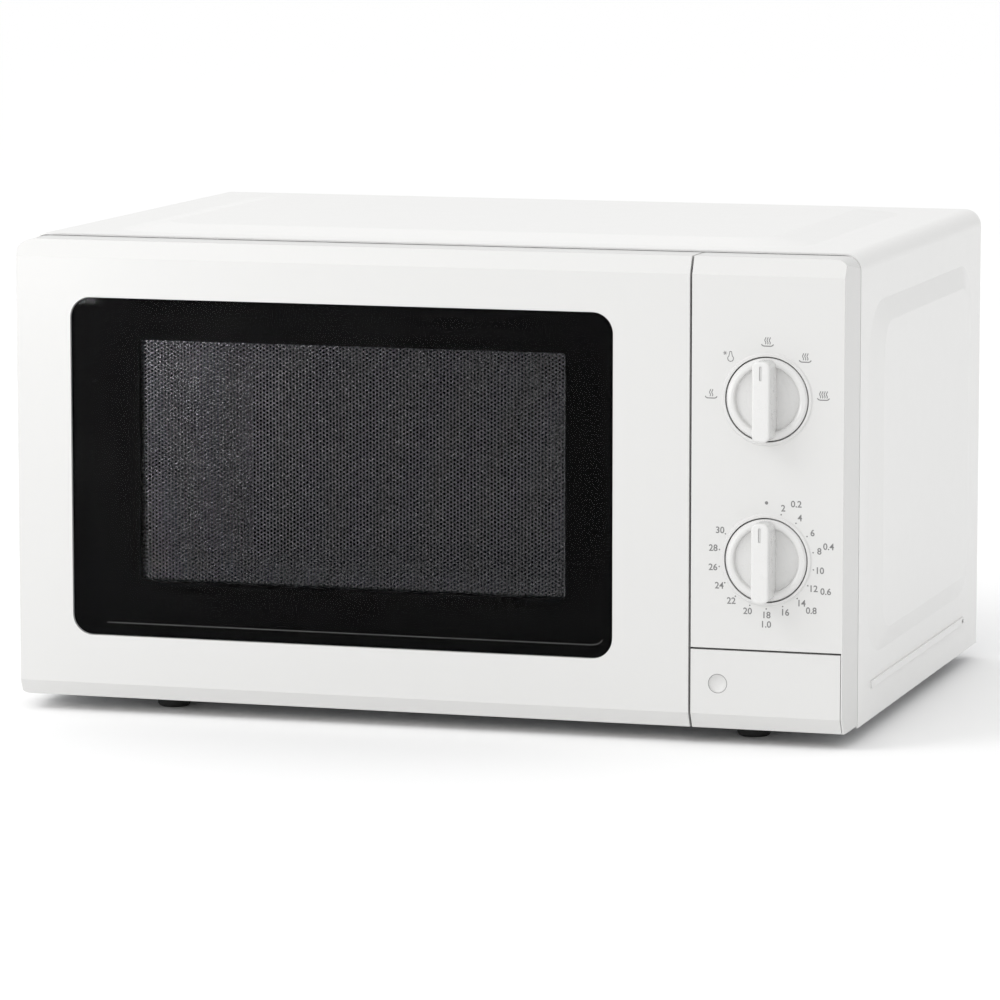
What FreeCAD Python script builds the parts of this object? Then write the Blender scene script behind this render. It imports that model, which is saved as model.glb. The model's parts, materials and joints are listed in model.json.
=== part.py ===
import FreeCAD, Part
import math
import os

import Sketcher
from FreeCAD import Placement, Rotation, Vector

# Counter-top microwave oven with two dials and a push plate that opens the door.
# Millimetres. +X is to the right of a person facing the door, +Y runs from the door to the back,
# +Z is up. The pieces are drawn from the middle of the front face's lower edge (x = 0, y = 0, z = 0),
# and each one's Placement then moves it so that the origin is under the middle of the oven,
# on the surface that it stands on.

SIZES = [
    # outside
    ("cover_width", 450.0, "outer width over the side walls"),
    ("face_width", 445.8, "width of the front face, narrowed by the draft of the side walls"),
    ("face_height", 241.7, "height of the door and of the control panel"),
    ("face_depth", 25.1, "depth of the door and of the control panel"),
    ("body_start", 26.3, "front edge of the sheet-metal body"),
    ("body_depth", 319.1, "rear edge of the cover"),
    ("cover_top", 242.8, "top of the cover"),
    ("sheet", 1.0, "thickness of cover, chassis and cavity sheet"),
    ("cover_corner", 9.0, "outer radius of the cover's top edges"),
    ("foot_height", 8.5, "from the standing surface to the front's lower edge"),
    ("foot_radius", 8.8, "radius of a foot"),
    ("top_bevel_depth", 4.1, "front to back size of the bevel along the top"),
    ("top_bevel_height", 9.0, "height of the bevel along the top"),
    ("low_bevel_depth", 4.0, "front to back size of the bevel along the bottom"),
    ("low_bevel_height", 7.8, "height of the bevel along the bottom"),
    ("shell", 2.4, "wall of the moulded front pieces"),
    ("door_corner_top", 11.0, "door's outer corner radius, top left"),
    ("door_corner_low", 5.5, "door's outer corner radius, bottom left"),
    ("panel_corner", 8.0, "control panel's outer corner radius, top right"),
    ("door_right", 142.3, "right edge of the door"),
    ("panel_left", 143.5, "left edge of the control panel"),
    # raised pads pressed into the cover
    ("pad_rise", 3.2, "height of the raised pads"),
    ("pad_front", 42.0, "front of the raised pads' foot"),
    ("pad_back", 300.0, "back of the raised pads' foot"),
    ("pad_slope_long", 25.0, "slope at the front and back of a pad"),
    ("pad_slope_short", 13.0, "slope above and below a side pad"),
    ("pad_low", 31.0, "bottom of a side pad's foot"),
    ("pad_high", 217.3, "top of a side pad's foot"),
    ("pad_half_width", 192.0, "half width of the top pad's foot"),
    ("pad_corner", 32.0, "corner radius of a pad's foot"),
    ("bead_front", 54.0, "front end of the long bead low on each side"),
    ("bead_back", 281.0, "rear end of the long bead"),
    ("bead_height", 17.7, "height of the bead's middle"),
    # window
    ("window_left", 193.0, "left edge of the black window plate, from the middle"),
    ("window_right", 102.0, "right edge of the black window plate"),
    ("window_low", 33.5, "lower edge of the black window plate"),
    ("window_high", 212.0, "upper edge of the black window plate"),
    ("window_corner", 11.0, "corner radius of the black window plate"),
    ("mesh_left", 155.6, "left edge of the see-through part"),
    ("mesh_right", 76.2, "right edge of the see-through part"),
    ("mesh_low", 63.6, "lower edge of the see-through part"),
    ("mesh_high", 190.2, "upper edge of the see-through part"),
    # cavity
    ("cavity_left", 197.0, "left wall of the cavity, from the middle"),
    ("cavity_right", 118.0, "right wall of the cavity"),
    ("cavity_floor", 20.0, "floor of the cavity"),
    ("cavity_ceiling", 218.0, "ceiling of the cavity"),
    ("cavity_rear", 300.0, "rear wall of the cavity"),
    ("cavity_corner", 10.0, "radius along the cavity's edges"),
    # turntable
    ("table_middle", 39.5, "turntable axis, left of the middle"),
    ("table_depth", 163.0, "turntable axis, behind the front face"),
    ("tray_radius", 122.5, "radius of the glass tray"),
    ("tray_height", 34.6, "underside of the glass tray"),
    ("roller_radius", 7.0, "radius of a roller"),
    ("roller_reach", 93.0, "from the turntable axis to the middle of a roller"),
    ("roller_gap", 0.3, "clearance under and over a roller"),
    # controls
    ("dial_x", 182.9, "both dials' axis, right of the middle"),
    ("power_z", 170.3, "height of the power dial's axis"),
    ("timer_z", 88.2, "height of the timer dial's axis"),
    ("dial_radius", 21.1, "radius of a dial"),
    ("dial_gap", 0.7, "gap round a dial"),
    ("grip_rise", 14.3, "how far a dial's grip stands out of the face"),
    ("grip_width", 9.2, "width of a dial's grip"),
    ("grip_reach", 20.4, "half the length of a dial's grip"),
    ("plate_top", 41.0, "top edge of the door-release plate"),
    ("plate_seam", 1.0, "seam between the release plate and the panel"),
    ("plate_right", 221.9, "right edge of the door-release plate"),
    ("dimple_x", 157.8, "middle of the thumb mark on the release plate"),
    ("dimple_z", 23.7, "height of the thumb mark"),
    ("shaft_radius", 3.0, "radius of the dials' shafts"),
    # hinge and latch
    ("hinge_x", 219.5, "door's hinge axis, left of the middle"),
    ("hinge_y", 8.0, "door's hinge axis, behind the front face"),
    ("pin_radius", 2.0, "radius of a hinge pin"),
    ("fit", 0.05, "running clearance of a pin or shaft"),
    ("hook_x", 131.0, "middle of the door hooks"),
    ("hook_low", 68.0, "underside of the lower hook's arm"),
    ("hook_high", 172.0, "underside of the upper hook's arm"),
    # machine bay
    ("bay_middle", 164.0, "middle of the machine bay"),
    ("fan_y", 276.0, "middle of the fan blades"),
    ("fan_z", 146.0, "height of the fan's axis"),
    ("fan_radius", 39.0, "radius of the fan blades"),
    ("gland_reach", 4.0, "how far the cord gland stands out at the back"),
]

doc = FreeCAD.newDocument("MicrowaveOven")
sheet = doc.addObject("Spreadsheet::Sheet", "Dims")
nodes = []


class Size(float):
    """A number that remembers the sheet formula it was worked out from."""

    def __new__(cls, value, formula):
        size = super().__new__(cls, value)
        size.formula = formula
        return size

    def _with(self, other, sign, value, swapped=False):
        first, second = (other, self) if swapped else (self, other)
        return Size(value, f"({formula_of(first)} {sign} {formula_of(second)})")

    def __add__(self, other):
        return self._with(other, "+", float(self) + float(other))

    def __radd__(self, other):
        return self._with(other, "+", float(other) + float(self), True)

    def __sub__(self, other):
        return self._with(other, "-", float(self) - float(other))

    def __rsub__(self, other):
        return self._with(other, "-", float(other) - float(self), True)

    def __mul__(self, other):
        return self._with(other, "*", float(self) * float(other))

    def __rmul__(self, other):
        return self._with(other, "*", float(other) * float(self), True)

    def __truediv__(self, other):
        return self._with(other, "/", float(self) / float(other))

    def __neg__(self):
        return Size(-float(self), f"(0 - {self.formula})")


def formula_of(value):
    """The sheet formula of a Size, or the plain number written out."""
    if isinstance(value, Size):
        return value.formula
    return f"{float(value):.6g}"


class Dims:
    """The sheet's cells, read by name."""


def fill_sheet():
    """Write the driving sizes into the sheet and make them readable by name."""
    for row, (alias, value, note) in enumerate(SIZES, start=1):
        sheet.set(f"A{row}", note)
        sheet.set(f"B{row}", str(value))
        sheet.setAlias(f"B{row}", alias)
        setattr(Dims, alias, Size(value, f"Dims.{alias}"))
    doc.recompute()


fill_sheet()
D = Dims
half_cover = D.cover_width / 2
half_face = D.face_width / 2
rear_end = D.body_depth + D.gland_reach
origin_y = (D.grip_rise - rear_end) / 2
table_x = -D.table_middle


# ---------------------------------------------------------------- building blocks

def bind(obj, prop, value):
    """Drive a property by the sheet formula of a value."""
    obj.setExpression(prop, formula_of(value))


places = {}


def place(obj, x=0, y=0, z=0, rotation=None):
    """Place an object by its sizes and keep them for finish()."""
    if rotation is not None:
        obj.Placement = Placement(Vector(0, 0, 0), rotation)
    for axis, value in zip("xyz", (x, y, z)):
        bind(obj, f"Placement.Base.{axis}", value)
    places[obj.Name] = (x, y, z)
    return obj


ALONG = {
    "x": Rotation(Vector(0, 1, 0), 90),
    "y": Rotation(Vector(1, 0, 0), -90),
    "z": Rotation(),
}


def block(x, y, z):
    """A box from three (low, high) pairs."""
    box = doc.addObject("Part::Box", "Block")
    for prop, (low, high) in zip(("Length", "Width", "Height"), (x, y, z)):
        bind(box, prop, high - low)
    return place(box, x[0], y[0], z[0])


def rod(axis, centre, radius, length):
    """A cylinder that starts at centre and runs along +axis."""
    cylinder = doc.addObject("Part::Cylinder", "Rod")
    bind(cylinder, "Radius", radius)
    bind(cylinder, "Height", length)
    return place(cylinder, *centre, rotation=ALONG[axis])


def taper(axis, centre, radius, end_radius, length):
    """A cone that starts at centre and runs along +axis."""
    cone = doc.addObject("Part::Cone", "Taper")
    bind(cone, "Radius1", radius)
    bind(cone, "Radius2", end_radius)
    bind(cone, "Height", length)
    return place(cone, *centre, rotation=ALONG[axis])


def fuse(*shapes):
    """One body from several that touch or overlap."""
    joined = doc.addObject("Part::MultiFuse", "Joined")
    joined.Shapes = list(shapes)
    joined.Refine = True
    return joined


def cut(base, *tools):
    """A body less its tools."""
    result = doc.addObject("Part::Cut", "Trimmed")
    result.Base = base
    result.Tool = tools[0] if len(tools) == 1 else fuse(*tools)
    result.Refine = True
    return result


def common(*shapes):
    """What several bodies have in common."""
    result = doc.addObject("Part::MultiCommon", "Shared")
    result.Shapes = list(shapes)
    result.Refine = True
    return result


def group(*shapes):
    """Separate solids kept as one sub-part."""
    bundle = doc.addObject("Part::Compound", "Group")
    bundle.Links = list(shapes)
    return bundle


def ring(axis, centre, radius, hole, length):
    """A tube that starts at centre and runs along +axis."""
    overlap = 1.0
    start = list(centre)
    start["xyz".index(axis)] = start["xyz".index(axis)] - overlap
    return cut(rod(axis, centre, radius, length), rod(axis, start, hole, length + 2 * overlap))


PLANES = {"xy": "XY_Plane", "xz": "XZ_Plane", "yz": "YZ_Plane"}


def new_sketch(body, plane, offset):
    """A sketch on one of the body's own origin planes, moved along its normal."""
    sketch = body.newObject("Sketcher::SketchObject", "Sketch")
    role = PLANES[plane]
    datum = next(f for f in body.Origin.OriginFeatures if f.Role == role)
    sketch.AttachmentSupport = [(datum, "")]
    sketch.MapMode = "FlatFace"
    bind(sketch, "AttachmentOffset.Base.z", -1 * offset if plane == "xz" else offset)
    return sketch


def pin_point(rules, geometry, corner, u, v):
    """Hold a sketch point at (u, v): rules collects (constraint, formula)."""
    for kind, value, axis_line in (("DistanceX", u, -2), ("DistanceY", v, -1)):
        if float(value) == 0.0:
            rules.append((Sketcher.Constraint("PointOnObject", geometry, corner, axis_line), None))
        else:
            rules.append((Sketcher.Constraint(kind, -1, 1, geometry, corner, float(value)), value))


def apply_rules(sketch, rules):
    """Add constraints to a sketch and drive those that come from the sheet."""
    first = sketch.ConstraintCount
    sketch.addConstraint([rule for rule, value in rules])
    for index, (rule, value) in enumerate(rules):
        if isinstance(value, Size):
            bind(sketch, f"Constraints[{first + index}]", value)


def draw_polygon(sketch, points):
    """A closed outline through points."""
    first = sketch.GeometryCount
    flat = [Vector(float(u), float(v), 0) for u, v in points]
    count = len(flat)
    for index in range(count):
        sketch.addGeometry(Part.LineSegment(flat[index], flat[(index + 1) % count]), False)
    rules = []
    for index in range(count):
        following = (index + 1) % count
        rules.append((Sketcher.Constraint("Coincident", first + index, 2, first + following, 1), None))
    for index, (u, v) in enumerate(points):
        pin_point(rules, first + index, 1, u, v)
    apply_rules(sketch, rules)


def draw_circle(sketch, u, v, radius):
    """A circle round (u, v)."""
    first = sketch.GeometryCount
    sketch.addGeometry(Part.Circle(Vector(float(u), float(v), 0), Vector(0, 0, 1), float(radius)), False)
    rules = [(Sketcher.Constraint("Radius", first, float(radius)), radius)]
    pin_point(rules, first, 3, u, v)
    apply_rules(sketch, rules)


def draw_rectangle(sketch, u, v, radii):
    """A rectangle from (low, high) pairs, its corner radii counted from the lower left."""
    if not isinstance(radii, (list, tuple)):
        radii = [radii] * 4
    lower_left, lower_right, upper_right, upper_left = radii
    (left, right), (low, high) = u, v
    corners = [
        ((right, low), (-1, 1), lower_right, -90),
        ((right, high), (-1, -1), upper_right, 0),
        ((left, high), (1, -1), upper_left, 90),
        ((left, low), (1, 1), lower_left, 180),
    ]
    sides = [
        ((left + lower_left, low), (right - lower_right, low)),
        ((right, low + lower_right), (right, high - upper_right)),
        ((right - upper_right, high), (left + upper_left, high)),
        ((left, high - upper_left), (left, low + lower_left)),
    ]
    line_ids = []
    arc_ids = []
    for (start, end), ((cu, cv), (du, dv), radius, angle) in zip(sides, corners):
        line_ids.append(sketch.GeometryCount)
        points = [Vector(float(a), float(b), 0) for a, b in (start, end)]
        sketch.addGeometry(Part.LineSegment(*points), False)
        arc_ids.append(None)
        if float(radius) > 0:
            arc_ids[-1] = sketch.GeometryCount
            middle = Vector(float(cu) + du * float(radius), float(cv) + dv * float(radius), 0)
            circle = Part.Circle(middle, Vector(0, 0, 1), float(radius))
            arc = Part.ArcOfCircle(circle, math.radians(angle), math.radians(angle + 90))
            sketch.addGeometry(arc, False)
    rules = []
    for index, direction in enumerate(("Horizontal", "Vertical", "Horizontal", "Vertical")):
        line = line_ids[index]
        following = line_ids[(index + 1) % 4]
        arc = arc_ids[index]
        rules.append((Sketcher.Constraint(direction, line), None))
        if arc is None:
            rules.append((Sketcher.Constraint("Coincident", line, 2, following, 1), None))
        else:
            rules.append((Sketcher.Constraint("Tangent", line, 2, arc, 1), None))
            rules.append((Sketcher.Constraint("Tangent", arc, 2, following, 1), None))
            radius = corners[index][2]
            rules.append((Sketcher.Constraint("Radius", arc, float(radius)), radius))
    held = []
    pin_point(held, line_ids[0], 1, 1.0, low)
    pin_point(held, line_ids[2], 1, 1.0, high)
    rules += [held[1], held[3]]
    held = []
    pin_point(held, line_ids[1], 1, right, 1.0)
    pin_point(held, line_ids[3], 1, left, 1.0)
    rules += [held[0], held[2]]
    apply_rules(sketch, rules)


def draw(sketch, outlines):
    """Draw outlines: ("poly", points), ("circle", u, v, radius), ("rect", u, v, radii)."""
    for outline in outlines:
        kind, *values = outline
        if kind == "poly":
            draw_polygon(sketch, *values)
        elif kind == "circle":
            draw_circle(sketch, *values)
        else:
            draw_rectangle(sketch, *values)


def padded(plane, start, end, *outlines):
    """A body with one sketch padded from start to end along the plane's normal axis."""
    body = doc.addObject("PartDesign::Body", "Body")
    sketch = new_sketch(body, plane, start)
    draw(sketch, outlines)
    pad = body.newObject("PartDesign::Pad", "Pad")
    pad.Profile = sketch
    pad.Reversed = plane == "xz"
    bind(pad, "Length", end - start)
    sketch.Visibility = False
    return body


TURNING = {"x": ("xy", "H_Axis"), "y": ("xy", "V_Axis"), "z": ("xz", "V_Axis")}


def turned(axis, profile, x=0, y=0, z=0):
    """A body of revolution: profile holds (radius, along) pairs about the axis through (x, y, z)."""
    plane, line = TURNING[axis]
    body = doc.addObject("PartDesign::Body", "Body")
    sketch = new_sketch(body, plane, 0)
    points = [(along, radius) if axis == "x" else (radius, along) for radius, along in profile]
    draw(sketch, [("poly", points)])
    spin = body.newObject("PartDesign::Revolution", "Revolution")
    spin.Profile = sketch
    spin.ReferenceAxis = (sketch, [line])
    spin.Angle = 360
    return place(body, x, y, z)


def hollow_box(x, y, z, wall, open_side):
    """A box with walls on five sides, open on one of them, such as "-y" or "+z"."""
    inner = [(x[0] + wall, x[1] - wall), (y[0] + wall, y[1] - wall), (z[0] + wall, z[1] - wall)]
    side = "xyz".index(open_side[1])
    low, high = inner[side]
    inner[side] = (low - 2 * wall, high) if open_side[0] == "-" else (low, high + 2 * wall)
    return cut(block(x, y, z), block(*inner))


def soften(obj, radius, choose):
    """Round the edges that choose(edge) accepts."""
    doc.recompute()
    rounded = doc.addObject("Part::Fillet", "Rounded")
    rounded.Base = obj
    edges = obj.Shape.Edges
    chosen = [number for number, edge in enumerate(edges, start=1) if choose(edge)]
    rounded.Edges = [(number, float(radius), float(radius)) for number in chosen]
    return rounded


def middle_of(edge):
    """The point halfway along an edge."""
    return edge.valueAt((edge.FirstParameter + edge.LastParameter) / 2)


def folded_strip(middle, half_width, low, high, thickness, folds):
    """Outline of a thin strip folded to and fro, a light spring seen from the side."""
    rise = (high - low) / folds
    shift = thickness / 2 * math.hypot(float(rise), 2 * float(half_width)) / float(rise)
    line = [(middle + (half_width if step % 2 else -half_width), low + rise * step)
            for step in range(folds + 1)]
    return [(u - shift, v) for u, v in line] + [(u + shift, v) for u, v in reversed(line)]


def finish(label, obj):
    """Name a sub-part and place it so that the oven stands on z = 0 with its middle over the origin."""
    obj.Label = label
    x, y, z = places.get(obj.Name, (0, 0, 0))
    bind(obj, "Placement.Base.x", x)
    bind(obj, "Placement.Base.y", y + origin_y)
    bind(obj, "Placement.Base.z", z + D.foot_height)
    nodes.append(obj)
    return obj


# ---------------------------------------------------------------- outer casing

FOOT_X = (-150, 168)
FOOT_Y = (36.6, 285)
FOOT_HOLE = 4.0
HATCH_REACH = 40
GLAND_X = 196
GLAND_Z = 32
GLAND_HOLE = 7.0


def raised_pad(plane, level, u, v, slopes, corner, rise):
    """A solid with a sloping rim, from its foot at level to its top at level + rise."""
    profiles = []
    for step in (0, 1):
        holder = doc.addObject("PartDesign::Body", "Body")
        profile = new_sketch(holder, plane, level + step * rise)
        draw_rectangle(
            profile,
            (u[0] + step * slopes[0], u[1] - step * slopes[0]),
            (v[0] + step * slopes[1], v[1] - step * slopes[1]),
            corner * (1 - 0.45 * step),
        )
        profiles.append(profile)
    loft = doc.addObject("Part::Loft", "Pad")
    loft.Sections = profiles
    loft.Solid = True
    loft.Ruled = True
    return loft


def mirrored_x(obj):
    """The same body on the other side of the middle."""
    mirror = doc.addObject("Part::Mirroring", "Mirror")
    mirror.Source = obj
    mirror.Normal = Vector(1, 0, 0)
    return mirror


def make_cover():
    """Wrap-round cover with raised pads on its top and sides, and a long bead low on each side."""
    y = (D.body_start, D.body_depth)
    low = -0.5

    def arch(inset):
        edge = half_cover - inset
        top = D.cover_top - inset
        radius = D.cover_corner - inset
        return ("rect", (-edge, edge), (low - inset, top), [0, 0, radius, radius])

    def pads(inset, start):
        across = (-D.pad_half_width, D.pad_half_width)
        along = (D.pad_front, D.pad_back)
        upright = (D.pad_low, D.pad_high)
        slopes = (D.pad_slope_long, D.pad_slope_short)
        rise = D.pad_rise + start
        top = raised_pad("xy", D.cover_top - inset - start, across, along,
                         (D.pad_slope_long, D.pad_slope_long), D.pad_corner, rise)
        right = raised_pad("yz", half_cover - inset - start, along, upright, slopes, D.pad_corner, rise)
        return [top, right, mirrored_x(right)]

    skin = padded("xz", y[0], y[1], arch(0))
    inside = padded("xz", y[0] - 1, y[1] + 1, arch(D.sheet))
    bead = padded("yz", half_cover - 0.5, half_cover + 1.0,
                  ("rect", (D.bead_front, D.bead_back), (D.bead_height - 2, D.bead_height + 2), 1.99))
    slot = block((half_cover - 2, half_cover + 2), (D.bead_back - 6, D.bead_back - 1.5),
                 (D.bead_height - 1, D.bead_height + 1))
    outer = fuse(skin, *pads(0, 0.5), bead, mirrored_x(bead))
    inner = fuse(inside, *pads(D.sheet, 0.5))
    finish("outer_cover", cut(outer, inner, slot, mirrored_x(slot)))


def make_base_plate():
    """Bottom sheet with vents and holes for the feet, and the hatch under the turntable motor."""
    edge = half_cover - 2.0
    y = (D.body_start + 1.2, D.body_depth - 3.5)
    holes = [("circle", x, depth, FOOT_HOLE) for x in FOOT_X for depth in FOOT_Y]
    vents = [("rect", (150 + 12 * i, 156 + 12 * i), (210, 262), 2.9) for i in range(5)]
    motor = [("rect", (table_x - 34, table_x + 34), (D.table_depth - 34, D.table_depth + 34), 6)]
    sheet_plan = [("rect", (-edge, edge), y, 3)] + holes + vents + motor
    plate = padded("xy", 1.0, 2.0, *sheet_plan)
    flange = [block((side, side + 1.0), y, (1.0, 9.0)) for side in (-edge, edge - 1.0)]
    front_lip = block((-edge, edge), (y[0], y[0] + 1.0), (1.0, 9.0))
    finish("base_plate", fuse(plate, *flange, front_lip))
    cover = padded("xy", 0.0, 0.9,
                   ("rect", (table_x - HATCH_REACH, table_x + HATCH_REACH),
                    (D.table_depth - HATCH_REACH, D.table_depth + HATCH_REACH), 8))
    finish("motor_hatch", cover)


def make_rear_panel():
    """Rear sheet with slots for the cooling air and the steam."""
    edge = half_cover - 1.6
    top = D.cover_top - 1.6
    outline = ("rect", (-edge, edge), (2.4, top), [3, 3, 7, 7])
    y = (D.body_depth - 3.0, D.body_depth - 2.0)
    gland = ("circle", GLAND_X, GLAND_Z, GLAND_HOLE)
    fan_vents = [("rect", (x - 2.2, x + 2.2), (z - 13, z + 13), 2.1)
                 for x in [D.bay_middle - 32 + 8 * i for i in range(9)]
                 for z in (D.fan_z - 17, D.fan_z + 17)]
    steam_vents = [("rect", (x - 2.0, x + 2.0), (186, 208), 1.9) for x in [-190 + 9 * i for i in range(9)]]
    panel = padded("xz", y[0], y[1], outline, gland, *fan_vents, *steam_vents)
    finish("rear_panel", panel)


def foot_at(x, y):
    """A foot with a rounded sole and a stub that goes up into the base."""
    low = -D.foot_height
    radius = D.foot_radius
    profile = [(0, low), (radius - 1.6, low), (radius - 0.4, low + 0.9), (radius, low + 3.0),
               (radius, -0.4), (radius, 0.9), (3.6, 0.9), (3.6, 4.0), (0, 4.0)]
    return turned("z", profile, x, y, 0)


def make_feet():
    """Four round feet."""
    for side, x in zip(("left", "right"), FOOT_X):
        for end, y in zip(("front", "rear"), FOOT_Y):
            finish(f"foot_{end}_{side}", foot_at(x, y))


def make_screws():
    """Pan-head screws that hold the cover and the rear panel, all alike."""
    def screw(x, z):
        head = rod("y", (x, D.body_depth - 1.95, z), 3.6, 1.9)
        bar = block((x - 2.2, x + 2.2), (D.body_depth - 0.9, D.body_depth + 0.5), (z - 0.45, z + 0.45))
        cross = block((x - 0.45, x + 0.45), (D.body_depth - 0.9, D.body_depth + 0.5), (z - 2.2, z + 2.2))
        return cut(head, bar, cross)

    spots = [(-214, 20), (-214, 228), (214, 20), (214, 228), (0, 232), (-80, 12), (118, 12)]
    finish("case_screws", group(*[screw(x, z) for x, z in spots]))


# ---------------------------------------------------------------- front pieces

def moulded_front(x, draft, radii):
    """Solid form of a front piece with its bevels, drafted on one side."""
    left, right = x
    z = (0, D.face_height)
    depth = D.face_depth
    draft_left, draft_right = draft
    plan = padded("xy", -1, D.face_height + 1, ("poly", [
        (left + draft_left, 0), (right - draft_right, 0), (right, depth), (left, depth)]))
    side = padded("yz", left - 1, right + 1, ("poly", [
        (0, D.low_bevel_height), (0, D.face_height - D.top_bevel_height),
        (D.top_bevel_depth, D.face_height), (depth, D.face_height), (depth, 0), (D.low_bevel_depth, 0)]))
    face = padded("xz", 0, depth, ("rect", (left, right), z, radii))
    return common(plan, side, face)


def front_hollow(x, walls, radii):
    """The hollow behind a moulded front, open at the back."""
    wall_left, wall_right = walls
    wall = D.shell
    left = x[0] + wall_left
    right = x[1] - wall_right
    back = D.face_depth + 1
    side = padded("yz", left - 1, right + 1, ("poly", [
        (wall, D.low_bevel_height + 1), (wall, D.face_height - D.top_bevel_height - 1),
        (D.top_bevel_depth + 1.8, D.face_height - wall), (back, D.face_height - wall),
        (back, wall), (D.low_bevel_depth + 1.8, wall)]))
    face = padded("xz", wall, back, ("rect", (left, right), (wall, D.face_height - wall), radii))
    return common(side, face)


def make_door_frame():
    """Moulded door frame, with notches for the hinge arms."""
    x = (-half_cover, D.door_right)
    draft = half_cover - half_face
    form = moulded_front(x, (draft, 0), [D.door_corner_low, 0, 0, D.door_corner_top])
    hollow = front_hollow(x, (D.shell + 1.2, D.shell), [3, 1, 1, 8])
    window = padded("xz", -1, D.shell + 1,
                    ("rect", (-D.window_left, D.window_right), (D.window_low, D.window_high),
                     D.window_corner))
    bosses = []
    for z in (9.5, D.face_height - 18.5):
        bosses.append(block((-half_cover + 1.4, -half_cover + 12), (2, 14), (z, z + 9)))
    frame = fuse(cut(form, hollow, window), *bosses)
    notches = []
    for z in (4.0, D.face_height - 9.0):
        notches.append(block((-half_cover - 1, -half_cover + 14), (3.0, D.face_depth + 1), (z, z + 5)))
        notches.append(rod("z", (-D.hinge_x, D.hinge_y, z), 5.0, 5))
    holes = [rod("z", (-D.hinge_x, D.hinge_y, 3.9), D.pin_radius + D.fit, 15),
             rod("z", (-D.hinge_x, D.hinge_y, D.face_height - 19), D.pin_radius + D.fit, 15)]
    finish("door_frame", cut(frame, *notches, *holes))


def make_door_window():
    """Window plate, the black border behind it and the frame that holds them."""
    edge = 0.35
    outline = ("rect", (-D.window_left + edge, D.window_right - edge),
               (D.window_low + edge, D.window_high - edge), D.window_corner - edge)
    opening = ("rect", (-D.mesh_left, D.mesh_right), (D.mesh_low, D.mesh_high), 2.0)
    finish("door_glass", padded("xz", 0.6, 2.6, outline))
    finish("window_mask", padded("xz", 2.65, 3.5, outline, opening))
    border = 4.0
    clip = ("rect", (-D.window_left - border, D.window_right + border),
            (D.window_low - border, D.window_high + border), D.window_corner + border)
    retainer = padded("xz", 3.55, 6.0, clip, opening)
    finish("window_retainer", retainer)


SPRING_TAB = D.hook_high + 24.0


def make_door_inner():
    """Pressed-steel inner panel with the see-through screen, and the plastic ring over its choke."""
    left, right = -213.0, 135.5
    low, high = 8.0, 233.7
    tub_x = (-D.window_left + 8, D.window_right - 1)
    tub_z = (D.window_low + 12, D.window_high - 10)
    wall = 0.8
    flange_y = (D.face_depth - 3.6, D.face_depth - 2.8)
    flange = padded("xz", flange_y[0], flange_y[1],
                    ("rect", (left, right), (low, high), 4), ("rect", tub_x, tub_z, 8))
    rim = padded("xz", 6.4, flange_y[1],
                 ("rect", (tub_x[0] - wall, tub_x[1] + wall), (tub_z[0] - wall, tub_z[1] + wall), 8.8),
                 ("rect", tub_x, tub_z, 8))
    screen = padded("xz", 6.4, 7.0,
                    ("rect", (tub_x[0] - wall, tub_x[1] + wall), (tub_z[0] - wall, tub_z[1] + wall), 8.8))
    slot_x = (D.hook_x - 3.2, D.hook_x + 3.2)
    hook_slots = [block(slot_x, (14, 30), (z - 8, z + 15)) for z in (D.hook_low, D.hook_high)]
    folded = [block((left, left + wall), (15, flange_y[1]), (24, high - 22)),
              block((right - wall, right), (15, flange_y[1]), (low, high)),
              block((left + 24, right), (15, flange_y[1]), (low, low + wall)),
              block((left + 24, right), (15, flange_y[1]), (high - wall, high)),
              block((D.hook_x - 4, right), (11, flange_y[1]), (SPRING_TAB, SPRING_TAB + 1.2))]
    finish("door_screen", cut(fuse(flange, rim, screen, *folded), *hook_slots))
    inner_x = (tub_x[0] - 0.2, tub_x[1] + 0.2)
    inner_z = (tub_z[0] - 0.2, tub_z[1] + 0.2)
    cover = padded("xz", flange_y[1] + 0.05, D.face_depth - 0.3,
                   ("rect", (left - 3, right + 1.5), (low - 2, high + 2), 6),
                   ("rect", inner_x, inner_z, 8))
    cover_slots = [block(slot_x, (14, 30), (z - 8, z + 15)) for z in (D.hook_low, D.hook_high)]
    finish("choke_cover", cut(cover, *cover_slots))


def make_hooks():
    """Both door hooks on one sliding bar."""
    x = (D.hook_x - 1.4, D.hook_x + 1.4)
    bar = padded("yz", x[0], x[1], ("poly", [
        (10, D.hook_low), (19.5, D.hook_low), (19.5, D.hook_high + 7), (10, D.hook_high + 7)]))
    arms = []
    for z in (D.hook_low, D.hook_high):
        arms.append(padded("yz", x[0], x[1], ("poly", [
            (18, z), (38, z), (38, z - 5), (41, z - 5), (46, z + 3), (44, z + 7), (18, z + 7)])))
    finish("door_hooks", fuse(bar, *arms))


def make_hook_spring():
    """Spring that presses the hooks down, from the top of their bar to the tab of the inner panel."""
    strip = folded_strip(D.hook_x, 2.0, D.hook_high + 7.6, SPRING_TAB - 0.6, 0.3, 6)
    finish("hook_spring", padded("xz", 12.8, 16.7, ("poly", strip)))


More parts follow.
